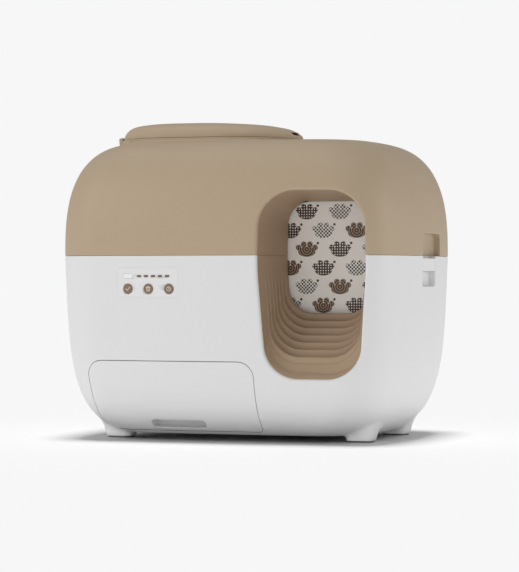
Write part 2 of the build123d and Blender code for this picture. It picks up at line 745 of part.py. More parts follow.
with BuildPart() as drum_cradle:
    with Locations((-128, 0, DECK_Z + 2)):
        Box(352, 480, 4)
    with Locations((BEARING_X + 5, 0, (DECK_Z + DRUM_Z) / 2)):
        Box(10, 90, DRUM_Z - DECK_Z)
    add(x_rods([(0, DRUM_Z)], 45, BEARING_X, BEARING_X + 10))
    for y in (-roller_y, roller_y):
        for x in (ROLLER_X - ROLLER_WIDTH / 2 - 3.6, ROLLER_X + ROLLER_WIDTH / 2 + 3.6):
            with Locations((x, y, (DECK_Z + roller_z + 8) / 2)):
                Box(6, 22, roller_z + 8 - DECK_Z)
    with Locations((0, pinion_y + 3, DECK_Z + 34)):
        Box(4, 54, 68)
    add(base_form(WALL + 0.4, BASE_FLOOR), mode=Mode.INTERSECT)
    add(x_rods([(0, DRUM_Z)], AXLE_R + 5, BEARING_X - 1, BEARING_X + 11), mode=Mode.SUBTRACT)
    add(x_rods(roller_centres, ROLLER_PIN_R, -50, 0), mode=Mode.SUBTRACT)
    add(x_rods([(pinion_y, pinion_z)], 9, -4, 4), mode=Mode.SUBTRACT)
    add(x_rods(motor_screw_places, 1.5, -4, 4), mode=Mode.SUBTRACT)
    with Locations((CHUTE_X, 0, DECK_Z)):
        Box(CHUTE_LENGTH, CHUTE_WIDTH, 20, mode=Mode.SUBTRACT)
export(drum_cradle.part, "drum_cradle")

with BuildPart() as drum_bushing:
    with BuildSketch(Plane.YZ.offset(BEARING_X)):
        with Locations((0, DRUM_Z)):
            Circle(AXLE_R + 5)
            Circle(AXLE_R + SHAFT_GAP, mode=Mode.SUBTRACT)
    extrude(amount=10)
export(drum_bushing.part, "drum_bushing")

with BuildPart() as roller_axles:
    add(x_rods(roller_centres, ROLLER_PIN_R, ROLLER_X - 15, ROLLER_X + 15))
export(roller_axles.part, "roller_axles")

for roller_centre, roller_name in zip(roller_centres, ("roller_front", "roller_rear")):
    with BuildPart() as roller:
        with BuildSketch(Plane.YZ.offset(ROLLER_X - ROLLER_WIDTH / 2)):
            with Locations(roller_centre):
                Circle(ROLLER_R)
                Circle(ROLLER_PIN_R + SHAFT_GAP, mode=Mode.SUBTRACT)
        extrude(amount=ROLLER_WIDTH)
        chamfer(roller.edges().filter_by(GeomType.CIRCLE).group_by(SortBy.LENGTH)[-1], 1.2)
    export(roller.part, roller_name)

with BuildPart() as drive_motor:
    add(x_rods([(pinion_y, pinion_z)], 24, MOTOR_X, -2))
    chamfer(drive_motor.faces().sort_by(Axis.X)[0].edges(), 2)
    add(x_rods([(pinion_y, pinion_z)], 14, MOTOR_X - 6, MOTOR_X))
    add(x_rods([(pinion_y, pinion_z)], PINION_SHAFT_R + SHAFT_GAP, -22, 0), mode=Mode.SUBTRACT)
    add(x_rods(motor_screw_places, 1.5, -9, 0), mode=Mode.SUBTRACT)
export(drive_motor.part, "drive_motor")

with BuildPart() as motor_screws:
    add(x_rods(motor_screw_places, 1.5, -8, 2))
    add(x_rods(motor_screw_places, 3, 2, 4))
export(motor_screws.part, "motor_screws")

with BuildPart() as drive_pinion:
    pinion_turn = PINION_ANGLE + 180 + 180 / PINION_TEETH
    pinion_plane = across_plane(GEAR_X, pinion_y, pinion_z, pinion_turn)
    extrude(gear_sketch(PINION_TEETH, PINION_HALF_TOOTH, 0.4, pinion_plane), amount=GEAR_WIDTH)
    add(x_rods([(pinion_y, pinion_z)], PINION_SHAFT_R, -20, GEAR_X + GEAR_WIDTH + 3))
export(drive_pinion.part, "drive_pinion")

# ==================================================================== drum
with BuildPart() as drum_shell:
    with BuildSketch(Plane.XZ) as profile:
        with BuildLine():
            Polyline(
                (DRUM_LEFT_X, DRUM_Z + 10),
                (DRUM_LEFT_X, DRUM_Z + DRUM_R),
                (DRUM_RIGHT_X, DRUM_Z + DRUM_R),
                (DRUM_RIGHT_X, DRUM_Z + MOUTH_R),
                (DRUM_RIGHT_X - DRUM_WALL, DRUM_Z + MOUTH_R),
                (DRUM_RIGHT_X - DRUM_WALL, DRUM_Z + DRUM_R - DRUM_WALL),
                (DRUM_LEFT_X + DRUM_WALL, DRUM_Z + DRUM_R - DRUM_WALL),
                (DRUM_LEFT_X + DRUM_WALL, DRUM_Z + 10),
                close=True,
            )
        make_face()
        left_corners = profile.vertices().group_by(Axis.X)
        fillet(left_corners[0].sort_by(Axis.Y)[-1], DRUM_END_R)
        inner_left = profile.vertices().filter_by_position(
            Axis.X, DRUM_LEFT_X + DRUM_WALL - 0.1, DRUM_LEFT_X + DRUM_WALL + 0.1
        )
        fillet(inner_left.sort_by(Axis.Y)[-1], DRUM_END_R - DRUM_WALL)
    revolve(axis=Axis((0, 0, DRUM_Z), (1, 0, 0)))
    with Locations((PORT_X, 0, DRUM_Z + DRUM_R)):
        Box(PORT_LENGTH, PORT_WIDTH, 60, mode=Mode.SUBTRACT)
export(drum_shell.part, "drum_shell")

with BuildPart() as drum_axle:
    add(x_rods([(0, DRUM_Z)], AXLE_R, BEARING_X - 4, DRUM_LEFT_X))
    add(x_rods([(0, DRUM_Z)], 10, DRUM_LEFT_X, DRUM_LEFT_X + DRUM_WALL))
    add(x_rods([(0, DRUM_Z)], 30, DRUM_LEFT_X + DRUM_WALL, DRUM_LEFT_X + DRUM_WALL + 3))
export(drum_axle.part, "drum_axle")

with BuildPart() as drum_mouth_ring:
    with BuildSketch(drum_plane(DRUM_RIGHT_X)):
        Circle(MOUTH_R + 16)
        Circle(MOUTH_R - 5, mode=Mode.SUBTRACT)
    extrude(amount=10)
    fillet(drum_mouth_ring.faces().sort_by(Axis.X)[-1].edges(), 4)
export(drum_mouth_ring.part, "drum_mouth_ring")

with BuildPart() as ring_gear:
    gear_plane = across_plane(GEAR_X, 0, DRUM_Z, PINION_ANGLE)
    extrude(gear_sketch(GEAR_TEETH, RING_HALF_TOOTH, 0.4, gear_plane), amount=GEAR_WIDTH)
    add(x_rods([(0, DRUM_Z)], DRUM_R + 0.1, GEAR_X - 1, GEAR_X + GEAR_WIDTH + 1), mode=Mode.SUBTRACT)
export(ring_gear.part, "ring_gear")

liner_turn = math.radians(-90 - LINER_ARC / 2)
liner_plane = Plane(
    origin=(0, 0, DRUM_Z),
    x_dir=(1, 0, 0),
    z_dir=(0, -math.sin(liner_turn), math.cos(liner_turn)),
)
with BuildPart() as drum_liner:
    with BuildSketch(liner_plane):
        with Locations(((LINER_LEFT_X + DRUM_RIGHT_X - 5) / 2, DRUM_R - DRUM_WALL - 1.3)):
            Rectangle(DRUM_RIGHT_X - 5 - LINER_LEFT_X, 2)
    revolve(axis=Axis((0, 0, DRUM_Z), (1, 0, 0)), revolution_arc=LINER_ARC)
export(drum_liner.part, "drum_liner")

with BuildPart() as litter_sieve:
    with Locations((SIEVE_X, 0, DRUM_Z + SIEVE_RISE)):
        Box(SIEVE_LENGTH, SIEVE_WIDTH, 3)
    with BuildSketch(Plane.XY.offset(DRUM_Z + SIEVE_RISE - 5)):
        with Locations((SIEVE_X, 0)):
            with GridLocations(SIEVE_LENGTH / 2 - 2, 16, 2, 12):
                SlotOverall(SIEVE_LENGTH / 2 - 12, 9)
    extrude(amount=10, mode=Mode.SUBTRACT)
export(litter_sieve.part, "litter_sieve")

# ==================================================================== hood
barrel_spans = ((-34.0, -14.0), (14.0, 34.0))
lug_spans = ((-44.0, -34.5), (-13.5, 13.5), (34.5, 44.0))


def hinge_rods(spans, radius):
    """Round rods along Y on the lid's hinge axis, one for each (start, end) span."""
    with BuildPart() as rods:
        for start_y, end_y in spans:
            with BuildSketch(Plane.XZ.offset(-end_y)):
                with Locations((LID_HINGE_X, LID_HINGE_Z)):
                    Circle(radius)
            extrude(amount=end_y - start_y)
    return rods.part


with BuildPart() as hood_shell:
    add(hood_outside)
    extrude(lid_plan(COLLAR_FOOT_Z, COLLAR_GROW), amount=COLLAR_TOP_Z - COLLAR_FOOT_Z)
    fillet(hood_shell.faces().sort_by(Axis.Z)[-1].edges(), 1.2)
    add(hood_inside, mode=Mode.SUBTRACT)
    hold_block = side_block(HOLD_Y, HOLD_LENGTH + 2 * POCKET_WALL, SEAM_Z, HOLD_TOP_Z + POCKET_WALL,
                            HOLD_FLOOR_X - POCKET_WALL)
    add(hold_block & hood_outside)
    add(side_block(HOLD_Y, HOLD_LENGTH, SEAM_Z - 5, HOLD_TOP_Z, HOLD_FLOOR_X), mode=Mode.SUBTRACT)
    add(hinge_rods(lug_spans, LID_LUG_R))
    for start_y, end_y in lug_spans:
        with Locations((LID_HINGE_X, (start_y + end_y) / 2, LID_HINGE_Z - 9)):
            Box(6.4, end_y - start_y, 18)
            with Locations((4.8, 0, -1.5)):
                Box(16, end_y - start_y, 15)
    extrude(lid_plan(COLLAR_FOOT_Z - 40, PORT_GROW), amount=140, mode=Mode.SUBTRACT)
    for start_y, end_y in barrel_spans:
        with Locations((LID_HINGE_X + 1, (start_y + end_y) / 2, LID_HINGE_Z)):
            Box(12, end_y - start_y + 1, 12, mode=Mode.SUBTRACT)
    add(hinge_rods([(-44.0, 44.0)], LID_ROD_R), mode=Mode.SUBTRACT)
    add(entry_mouth, mode=Mode.SUBTRACT)
export(hood_shell.part, "hood_shell")

with BuildPart() as lid_hinge_rod:
    add(hinge_rods([(-43.0, 43.0)], LID_ROD_R))
export(lid_hinge_rod.part, "lid_hinge_rod")

with BuildPart() as entry_surround:
    add(funnel_form(LINER_WALL))
    add(doorway_ring())
    for side in (-1, 1):
        with Locations((ENTRY_X + side * (FLAP_BARREL_HALF + 6), DOORWAY_Y + 7.5, FLAP_AXIS_Z + 1)):
            Box(6, 15, 12)
    add(funnel_form(0), mode=Mode.SUBTRACT)
    extrude(entry_outline(1, DOORWAY_Y + 2 * RIM_DEPTH), amount=3 * RIM_DEPTH, mode=Mode.SUBTRACT)
    flap_centre = [(FLAP_AXIS_Y, FLAP_AXIS_Z)]
    flap_bore = FLAP_ROD_R + SHAFT_GAP
    add(x_rods(flap_centre, flap_bore, ENTRY_X - 60, ENTRY_X + 60), mode=Mode.SUBTRACT)
    with Locations((SENSOR_X, SENSOR_Y, SENSOR_Z)):
        Box(9.4, 5.4, 20, mode=Mode.SUBTRACT)
    add(hood_form(WALL + SEAT_GAP), mode=Mode.INTERSECT)
    with Locations((ENTRY_X, -150, SEAM_Z)):
        Box(300, 300, 0.6, mode=Mode.SUBTRACT)
export(entry_surround.part, "entry_surround")

with BuildPart() as entry_sensor:
    with Locations((SENSOR_X, SENSOR_Y, SENSOR_Z)):
        Box(9, 5, 9)
export(entry_sensor.part, "entry_sensor")

# ==================================================================== flap
with BuildPart() as flap_panel:
    extrude(entry_outline(1, FLAP_AXIS_Y + FLAP_THICK / 2, FLAP_GROW), amount=FLAP_THICK)
    with Locations((ENTRY_X, FLAP_AXIS_Y, FLAP_AXIS_Z - 7)):
        Box(2 * FLAP_BARREL_HALF, FLAP_THICK, 14)
    add(x_rods(flap_centre, FLAP_BARREL_R, ENTRY_X - FLAP_BARREL_HALF, ENTRY_X + FLAP_BARREL_HALF))
    add(x_rods(flap_centre, FLAP_ROD_R, ENTRY_X - 60, ENTRY_X + 60), mode=Mode.SUBTRACT)
export(flap_panel.part, "flap_panel")

with BuildPart() as flap_rod:
    add(x_rods(flap_centre, FLAP_ROD_R, ENTRY_X - 46, ENTRY_X + 46))
export(flap_rod.part, "flap_rod")

# ===================================================================== lid
lid_inside_levels = [
    (LID_BASE_Z + (level[0] - LID_BASE_Z) * LID_HOLLOW, *level[1:]) for level in LID_LEVELS
]
post_places = [(LID_X + x, y) for x in (-95, 95) for y in (-85, 85)]

with BuildPart() as lid_outside:
    loft([lid_section(level) for level in LID_LEVELS])

with BuildPart() as lid_shell:
    add(lid_outside.part)
    loft([lid_section(level, LID_WALL) for level in lid_inside_levels], mode=Mode.SUBTRACT)
    with BuildPart(mode=Mode.PRIVATE) as posts:
        with BuildSketch(Plane.XY.offset(INNER_TOP_Z)):
            with Locations(*post_places):
                Circle(4)
        extrude(amount=30)
    add(posts.part & lid_outside.part)
    with BuildSketch(Plane.XY.offset(INNER_TOP_Z)):
        with Locations(*post_places):
            Circle(1.5)
    extrude(amount=7, mode=Mode.SUBTRACT)
    for start_y, end_y in barrel_spans:
        with Locations((LID_HINGE_X + 5, (start_y + end_y) / 2, 530.8)):
            Box(10, end_y - start_y, 6.4)
    add(hinge_rods(barrel_spans, LID_BARREL_R))
    add(hinge_rods([(-36.0, 36.0)], LID_ROD_R + SHAFT_GAP), mode=Mode.SUBTRACT)
    with BuildSketch(Plane.YZ.offset(40)):
        with Locations((0, FINGER_SLOT_Z)):
            SlotOverall(38, 5)
    extrude(amount=40, mode=Mode.SUBTRACT)
export(lid_shell.part, "lid_shell")

with BuildPart() as lid_inner:
    with BuildSketch(Plane.XY.offset(INNER_TOP_Z - 2.5)):
        with Locations((LID_X, 0)):
            RectangleRounded(LID_LENGTH - 14, LID_WIDTH - 14, LID_R - 7)
            with GridLocations(12, 12, 9, 7):
                Circle(4, mode=Mode.SUBTRACT)
        with Locations(*post_places):
            Circle(1.7, mode=Mode.SUBTRACT)
    extrude(amount=2.5)
export(lid_inner.part, "lid_inner")

with BuildPart() as lid_screws:
    with BuildSketch(Plane.XY.offset(INNER_TOP_Z - 2.5)):
        with Locations(*post_places):
            Circle(1.5)
    extrude(amount=9)
    with BuildSketch(Plane.XY.offset(INNER_TOP_Z - 4.1)):
        with Locations(*post_places):
            Circle(3)
    extrude(amount=1.6)
export(lid_screws.part, "lid_screws")

with BuildPart() as carbon_filter:
    with BuildSketch(Plane.XY.offset(INNER_TOP_Z)):
        with Locations((LID_X, 0)):
            RectangleRounded(130, 110, 8)
    extrude(amount=9)
export(carbon_filter.part, "carbon_filter")
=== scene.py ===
"""Self-cleaning cat litter box with a lift-off hood: its looks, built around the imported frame.

Lengths are given in millimetres and turned into metres where meshes are made. +Z is up and the
front faces -Y. The smooth shells repeat the section formulas of the frame's own shells.
"""

import math

import bmesh
import bpy
import numpy as np
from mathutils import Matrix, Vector
from mathutils.bvhtree import BVHTree
from mathutils.interpolate import poly_3d_calc


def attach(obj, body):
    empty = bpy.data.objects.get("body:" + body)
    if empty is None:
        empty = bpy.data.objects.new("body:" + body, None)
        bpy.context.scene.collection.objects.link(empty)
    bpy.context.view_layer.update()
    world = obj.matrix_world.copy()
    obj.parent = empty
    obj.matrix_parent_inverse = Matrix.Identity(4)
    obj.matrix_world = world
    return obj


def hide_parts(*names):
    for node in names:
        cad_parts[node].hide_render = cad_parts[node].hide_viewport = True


MM = 0.001

# ==== the body's shape
HALF_WIDTH = 315.5
HALF_DEPTH = 247.0
SIDE_BOW = 27.0
FRONT_BOW = 12.4
CORNER_R = 88.4
SEAM_Z = 320.0
TOP_Z = 520.0
FLOOR_Z = 12.0
WALL = 4.0
BASE_FLOOR = 6.0
SHOULDER_INSET = 126.7
SHOULDER_POWER = 2.79
BELLY_INSET = 218.4
BELLY_POWER = 4.48
BELLY_BOTTOM = -0.9
BELLY_DRAFT = 11.4
SEAM_EDGE_R = 1.1        # rounding of the two edges that meet at the seam
SEAM_HALF_GAP = 0.2

# ==== entry
ENTRY_X = 171.3
ENTRY_TOP_Z = (429.0, 413.0)
ENTRY_WAIST_Z = (300.0, 312.0)
ENTRY_BOTTOM_Z = (111.5, 220.5)
ENTRY_TOP_HALF = (89.0, 78.0)
ENTRY_WAIST_HALF = (92.6, 81.0)
ENTRY_BOTTOM_HALF = (79.0, 74.0)
ENTRY_TOP_R = (62.0, 42.0)
ENTRY_BOTTOM_R = (58.0, 48.0)
ENTRY_WAIST_R = 500.0
DOORWAY_Y = -119.0
FIRST_RISER_Y = -211.0
FIRST_RISER_T = 0.23
STAIR_COUNT = 8
STEP_NOSE_R = 2.6
STEP_FOOT_R = 1.4
STEPS_FADE_Z = 225.0     # above this the steps fade into the smooth sides
STEPS_FADE_HEIGHT = 85.0
LINER_WALL = 3.4
FLANGE_REACH = 9.6
FLANGE_BACK_Y = DOORWAY_Y + 4.0
LIP_R = 5.0

# ==== lid, holds, drawer and panel
LID_X = -86.5
LID_LENGTH = 317.0
LID_WIDTH = 252.0
LID_R = 112.0
LID_WALL = 3.0
COLLAR_GROW = 3.0
COLLAR_FLARE = 13.0
COLLAR_RISE = 5.0
COLLAR_TOP_Z = 527.0
PORT_GROW = -16.0
HOLD_Y = 13.5
HOLD_LENGTH = 117.0
HOLD_TOP_Z = 359.0
HOLD_FLOOR_X = 301.5
GRIP_Y = -3.5
GRIP_LENGTH = 83.0
GRIP_BOTTOM_Z = 267.0
DRAWER_TOP_Z = 139.0
DRAWER_LEFT_X = -239.5
DRAWER_RIGHT_X = 69.0
DRAWER_FOOT_Z = 18.0
DRAWER_FOOT_X = -231.5
HANDLE_X = -81.0
HANDLE_Z = 30.5
HANDLE_LENGTH = 101.0
HANDLE_HEIGHT = 13.0
HANDLE_POCKET_Y = -160.0
PANEL_X = -118.3
PANEL_Z = 273.8
PANEL_WIDTH = 111.0
PANEL_HEIGHT = 50.0
PANEL_R = 5.0
INLET_X = -200.0
INLET_Z = 172.0
INLET_WIDTH = 26.0
INLET_HEIGHT = 16.0
COVER_X = 152.0
COVER_Y = 10.0
COVER_SIZE = 150.0
FOOT_X = 221.7
FOOT_Y = 108.2
LATCH_BOTTOM_Z = 294.0
LATCH_TOP_Z = 316.0
BUTTON_X = -117.3
BUTTON_Z = 263.0
BUTTON_PITCH = 38.1
BUTTON_R = 8.5
LIGHT_X = -155.3
LIGHT_Z = 284.7
LIGHT_SIZE = (17.0, 8.0)
LEVEL_SIZE = (8.0, 3.6)
LEVEL_X = -134.3
LEVEL_PITCH = 13.0
LID_HINGE_X = -249.0
LID_HINGE_Z = 529.5
FINGER_SLOT_Z = 537.0
FLAP_AXIS_Y = -108.0
FLAP_AXIS_Z = 424.0
FLAP_GROW = 2.5
FLAP_BARREL_HALF = 36.0
SENSOR_X = 127.0
SENSOR_Y = -126.0
# height, length taken off the left and the right end, width taken off in all, corner radius
LID_SIDE = (
    (527.4, 0.0, 0.0, 0.0, 112.0),
    (534.0, 0.5, 1.5, 2.0, 111.0),
    (541.0, 4.0, 9.0, 9.0, 108.0),
)
LID_TOP = (
    (541.0, 4.0, 9.0, 9.0, 108.0),
    (547.5, 12.0, 26.0, 24.0, 100.0),
    (552.0, 25.0, 54.0, 48.0, 88.0),
    (555.0, 48.0, 96.0, 88.0, 68.0),
)
# the flap's print: height and place of its rows and columns
ROW_Z = 218.0
ROW_STEP = 32.3
COLUMN_X = 64.0
COLUMN_STEP = 60.0

# ==== camera and stage
CAMERA_AT = (1461.2, -4219.7, 281.3)
CAMERA_AIM = (-0.3, -0.1, 267.2)
CAMERA_LENS = 157.5


# ==== mesh tools
def add_object(name, data):
    """New object in the scene."""
    piece = bpy.data.objects.new(name, data)
    bpy.context.scene.collection.objects.link(piece)
    return piece


def make_object(name, verts, faces, smooth=True):
    """New object from vertices in millimetres."""
    mesh = bpy.data.meshes.new(name)
    mesh.from_pydata([tuple(v) for v in np.asarray(verts, float) * MM], [], faces)
    mesh.update()
    piece = add_object(name, mesh)
    if smooth:
        for polygon in mesh.polygons:
            polygon.use_smooth = True
    return piece


def ring_faces(ring_count, ring_size, closed=True):
    """Quads between successive rings of equal size."""
    faces = []
    around = ring_size if closed else ring_size - 1
    for ring in range(ring_count - 1):
        for step in range(around):
            after = (step + 1) % ring_size
            low, high = ring * ring_size, (ring + 1) * ring_size
            faces.append((low + step, low + after, high + after, high + step))
    return faces


def rings_object(name, rings, cap_start=False, cap_end=False, closed=True):
    """Object lofted through rings, each an array of points."""
    size = len(rings[0])
    faces = ring_faces(len(rings), size, closed)
    if cap_start:
        faces.append(tuple(range(size - 1, -1, -1)))
    if cap_end:
        last = (len(rings) - 1) * size
        faces.append(tuple(range(last, last + size)))
    return make_object(name, np.concatenate(rings), faces)


def evaluated(piece):
    """Replace the object's mesh by the mesh that its modifiers give."""
    graph = bpy.context.evaluated_depsgraph_get()
    mesh = bpy.data.meshes.new_from_object(piece.evaluated_get(graph))
    piece.modifiers.clear()
    piece.data = mesh


def boolean(piece, cutters):
    """Cut the piece with each cutter and delete the cutters."""
    for cutter in cutters:
        change = piece.modifiers.new("cut", "BOOLEAN")
        change.solver = "EXACT"
        change.object = cutter
        evaluated(piece)
        bpy.data.objects.remove(cutter)


def join(name, parts):
    """One object from the meshes of several, which are then deleted."""
    joined = bmesh.new()
    for part in parts:
        joined.from_mesh(part.data)
    mesh = bpy.data.meshes.new(name)
    joined.to_mesh(mesh)
    joined.free()
    piece = add_object(name, mesh)
    for part in parts:
        bpy.data.objects.remove(part)
    return piece


class Form:
    """A smooth surface that gives its point and normal along a line or nearest a point."""

    def __init__(self, piece):
        mesh = piece.data
        self.points = [v.co.copy() for v in mesh.vertices]
        self.normals = [v.normal.copy() for v in mesh.vertices]
        self.polygons = [tuple(p.vertices) for p in mesh.polygons]
        self.tree = BVHTree.FromPolygons(self.points, self.polygons)

    def smooth_normal(self, point, index):
        corners = self.polygons[index]
        weights = poly_3d_calc([self.points[c] for c in corners], point)
        total = Vector()
        for corner, weight in zip(corners, weights):
            total += self.normals[corner] * weight
        return total.normalized()

    def hit(self, start, direction):
        """Point in millimetres and normal where a line first meets the surface."""
        point, _, index, _ = self.tree.ray_cast(Vector(start) * MM, Vector(direction))
        if point is None:
            return None, None
        return np.array(point) / MM, np.array(self.smooth_normal(point, index))

    def take_normals(self, piece, reach=0.08):
        """Give the piece this surface's normals wherever it lies on it."""
        mesh = piece.data
        normals = []
        for vertex in mesh.vertices:
            point, _, index, distance = self.tree.find_nearest(vertex.co)
            on_it = point is not None and distance < reach * MM
            normals.append(self.smooth_normal(point, index) if on_it else Vector())
        mesh.normals_split_custom_set_from_vertices([tuple(n) for n in normals])


# ==== outlines in 2-D
def arc_points(centre, radius, start, end, count):
    """Points on an arc, without its end point."""
    turns = np.linspace(start, end, count, endpoint=False)
    return np.column_stack([centre[0] + radius * np.cos(turns), centre[1] + radius * np.sin(turns)])


def body_outline(inset, side_steps=14, corner_steps=20, front_steps=26):
    """Rounded rectangle with bowed sides, counter-clockwise from (a, 0)."""
    a = HALF_WIDTH - inset
    b = HALF_DEPTH - inset
    side_rise = SIDE_BOW * a / HALF_WIDTH
    front_rise = FRONT_BOW * b / HALF_DEPTH
    corner_x, corner_y = a - side_rise, b - front_rise
    side_r = (corner_y**2 + side_rise**2) / (2 * side_rise)
    front_r = (corner_x**2 + front_rise**2) / (2 * front_rise)
    side_c = np.array([a - side_r, 0.0])
    front_c = np.array([0.0, b - front_r])
    radius = CORNER_R
    apart = side_c - front_c
    span = np.linalg.norm(apart)
    along = ((front_r - radius) ** 2 - (side_r - radius) ** 2 + span**2) / (2 * span)
    across = math.sqrt((front_r - radius) ** 2 - along**2)
    unit = apart / span
    centre = front_c + along * unit + across * np.array([-unit[1], unit[0]])
    if centre[0] < 0 or centre[1] < 0:
        centre = front_c + along * unit - across * np.array([-unit[1], unit[0]])
    side_turn = math.atan2(*(centre - side_c)[::-1])
    front_turn = math.atan2(*(centre - front_c)[::-1])
    quarter = np.concatenate([
        arc_points(side_c, side_r, 0, side_turn, side_steps),
        arc_points(centre, radius, side_turn, front_turn, corner_steps),
        arc_points(front_c, front_r, front_turn, math.pi / 2, front_steps),
        [[0.0, b]],
    ])
    flipped = quarter[::-1]
    return np.concatenate([
        quarter[:-1],
        (flipped * (-1, 1))[:-1],
        (quarter * (-1, -1))[:-1],
        (flipped * (1, -1))[:-1],
    ])


def rounded_outline(corners, radii, arc_steps, edge_steps):
    """Points and outward normals of a convex polygon with rounded corners, counter-clockwise."""
    corners = np.asarray(corners, float)
    count = len(corners)
    arcs = []
    for place in range(count):
        before = corners[place] - corners[place - 1]
        after = corners[(place + 1) % count] - corners[place]
        before /= np.linalg.norm(before)
        after /= np.linalg.norm(after)
        turn = math.acos(np.clip(before @ after, -1, 1))
        radius = radii[place]
        start = corners[place] - before * radius * math.tan(turn / 2)
        centre = start + radius * np.array([-before[1], before[0]])
        first = math.atan2(*(start - centre)[::-1])
        turns = first + np.linspace(0, turn, arc_steps[place] + 1)
        normals = np.column_stack([np.cos(turns), np.sin(turns)])
        arcs.append((centre + radius * normals, normals))
    points, outward = [], []
    for place in range(count):
        arc, normals = arcs[place]
        following = arcs[(place + 1) % count][0][0]
        points.append(arc)
        outward.append(normals)
        steps = edge_steps[place]
        shares = np.linspace(0, 1, steps + 1)[1:-1, None]
        points.append(arc[-1] + (following - arc[-1]) * shares)
        outward.append(np.repeat(normals[-1:], len(shares), axis=0))
    return np.concatenate(points), np.concatenate(outward)


def rectangle(width, height, radius, centre=(0, 0), arc=8, edge=6):
    """Rounded rectangle: points and outward normals, counter-clockwise."""
    x, y = width / 2, height / 2
    corners = [(x, y), (-x, y), (-x, -y), (x, -y)]
    points, outward = rounded_outline(corners, [radius] * 4, [arc] * 4, [edge] * 4)
    return points + np.array(centre), outward


def shrunk(points, share):
    """The points drawn towards their middle."""
    middle = points.mean(axis=0)
    return middle + (points - middle) * share


def at_y(flat, y):
    """Points (x, z) placed at the depth y."""
    return np.column_stack([flat[:, 0], np.full(len(flat), y), flat[:, 1]])


def upwards(flat, z=0.0):
    """Points (x, y) placed at the height z."""
    return np.column_stack([flat, np.full(len(flat), z)])


def mix(pair, share):
    return pair[0] + (pair[1] - pair[0]) * share


def entry_outline(t):
    """Outline of the entry at the share t of the way in, as (x, z) points and normals."""
    top_z, waist_z, bottom_z = mix(ENTRY_TOP_Z, t), mix(ENTRY_WAIST_Z, t), mix(ENTRY_BOTTOM_Z, t)
    top, waist, bottom = mix(ENTRY_TOP_HALF, t), mix(ENTRY_WAIST_HALF, t), mix(ENTRY_BOTTOM_HALF, t)
    top_r, bottom_r = mix(ENTRY_TOP_R, t), mix(ENTRY_BOTTOM_R, t)
    corners = [
        (ENTRY_X + waist, waist_z),
        (ENTRY_X + top, top_z),
        (ENTRY_X - top, top_z),
        (ENTRY_X - waist, waist_z),
        (ENTRY_X - bottom, bottom_z),
        (ENTRY_X + bottom, bottom_z),
    ]
    radii = [ENTRY_WAIST_R, top_r, top_r, ENTRY_WAIST_R, bottom_r, bottom_r]
    return rounded_outline(corners, radii, [8, 20, 20, 8, 20, 20], [8, 10, 8, 12, 8, 12])


# ==== the body's surfaces
def section(z, inset):
    """Ring of the body at height z."""
    return upwards(body_outline(inset), z)


def hood_profile(skin, steps=44):
    """(height, inset) pairs from the seam to the flat top."""
    pairs = []
    for turn in np.linspace(0, math.pi / 2, steps + 1):
        rise = math.sin(turn) ** (2 / SHOULDER_POWER)
        inset = SHOULDER_INSET * (1 - math.cos(turn) ** (2 / SHOULDER_POWER))
        pairs.append((SEAM_Z + (TOP_Z - skin - SEAM_Z) * rise, inset + skin))
    return pairs


def belly_inset(z):
    """How far the base is drawn in at height z."""
    fall = (SEAM_Z - z) / (SEAM_Z - BELLY_BOTTOM)
    return BELLY_INSET * (1 - (1 - fall**BELLY_POWER) ** (1 / BELLY_POWER)) + BELLY_DRAFT * fall


def base_profile(skin, floor, steps=46):
    """(height, inset) pairs from the seam down to the flat underside."""
    lowest = FLOOR_Z + floor
    last_fall = (SEAM_Z - lowest) / (SEAM_Z - BELLY_BOTTOM)
    last_turn = math.asin(last_fall ** (BELLY_POWER / 2))
    pairs = []
    for turn in np.linspace(0, last_turn, steps + 1):
        z = SEAM_Z - (SEAM_Z - BELLY_BOTTOM) * math.sin(turn) ** (2 / BELLY_POWER)
        pairs.append((z, belly_inset(z) + skin))
    return pairs


def seam_edge(direction):
    """The rounded edge at the seam; direction is 1 for the hood and -1 for the base."""
    face = SEAM_Z + direction * SEAM_HALF_GAP
    pairs = []
    for turn in np.linspace(0, math.pi / 2, 5):
        height = face + direction * SEAM_EDGE_R * (1 - math.cos(turn))
        pairs.append((height, SEAM_EDGE_R * (1 - math.sin(turn))))
    return pairs


def thick_shell(name, outer, inner, direction):
    """Closed dome or bowl: inner surface, rounded rim, outer surface."""
    rim = SEAM_Z + direction * SEAM_HALF_GAP
    clear = [pair for pair in outer if abs(pair[0] - SEAM_Z) > SEAM_EDGE_R + SEAM_HALF_GAP + 0.5]
    inner_clear = [pair for pair in inner if abs(pair[0] - SEAM_Z) > 1.5]
    pairs = inner_clear[::-1] + [(rim, WALL)] + seam_edge(direction) + clear
    rings = [section(z, inset) for z, inset in pairs]
    return closed(rings_object(name, rings, cap_start=True, cap_end=True))


# ==== the camera
def make_camera():
    data = bpy.data.cameras.new("camera")
    data.lens = CAMERA_LENS
    data.sensor_width = 36.0
    data.clip_end = 100.0
    camera = add_object("camera", data)
    camera.location = Vector(CAMERA_AT) * MM
    look = (Vector(CAMERA_AIM) - Vector(CAMERA_AT)).normalized()
    camera.rotation_mode = "QUATERNION"
    camera.rotation_quaternion = look.to_track_quat("-Z", "Y")
    bpy.context.scene.camera = camera


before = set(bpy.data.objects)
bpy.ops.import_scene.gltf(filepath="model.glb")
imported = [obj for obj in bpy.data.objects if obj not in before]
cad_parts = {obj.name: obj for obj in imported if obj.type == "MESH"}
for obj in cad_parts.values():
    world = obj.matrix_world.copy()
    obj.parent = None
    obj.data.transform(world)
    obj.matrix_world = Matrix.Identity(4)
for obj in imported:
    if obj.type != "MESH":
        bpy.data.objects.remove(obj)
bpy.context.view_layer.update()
make_camera()


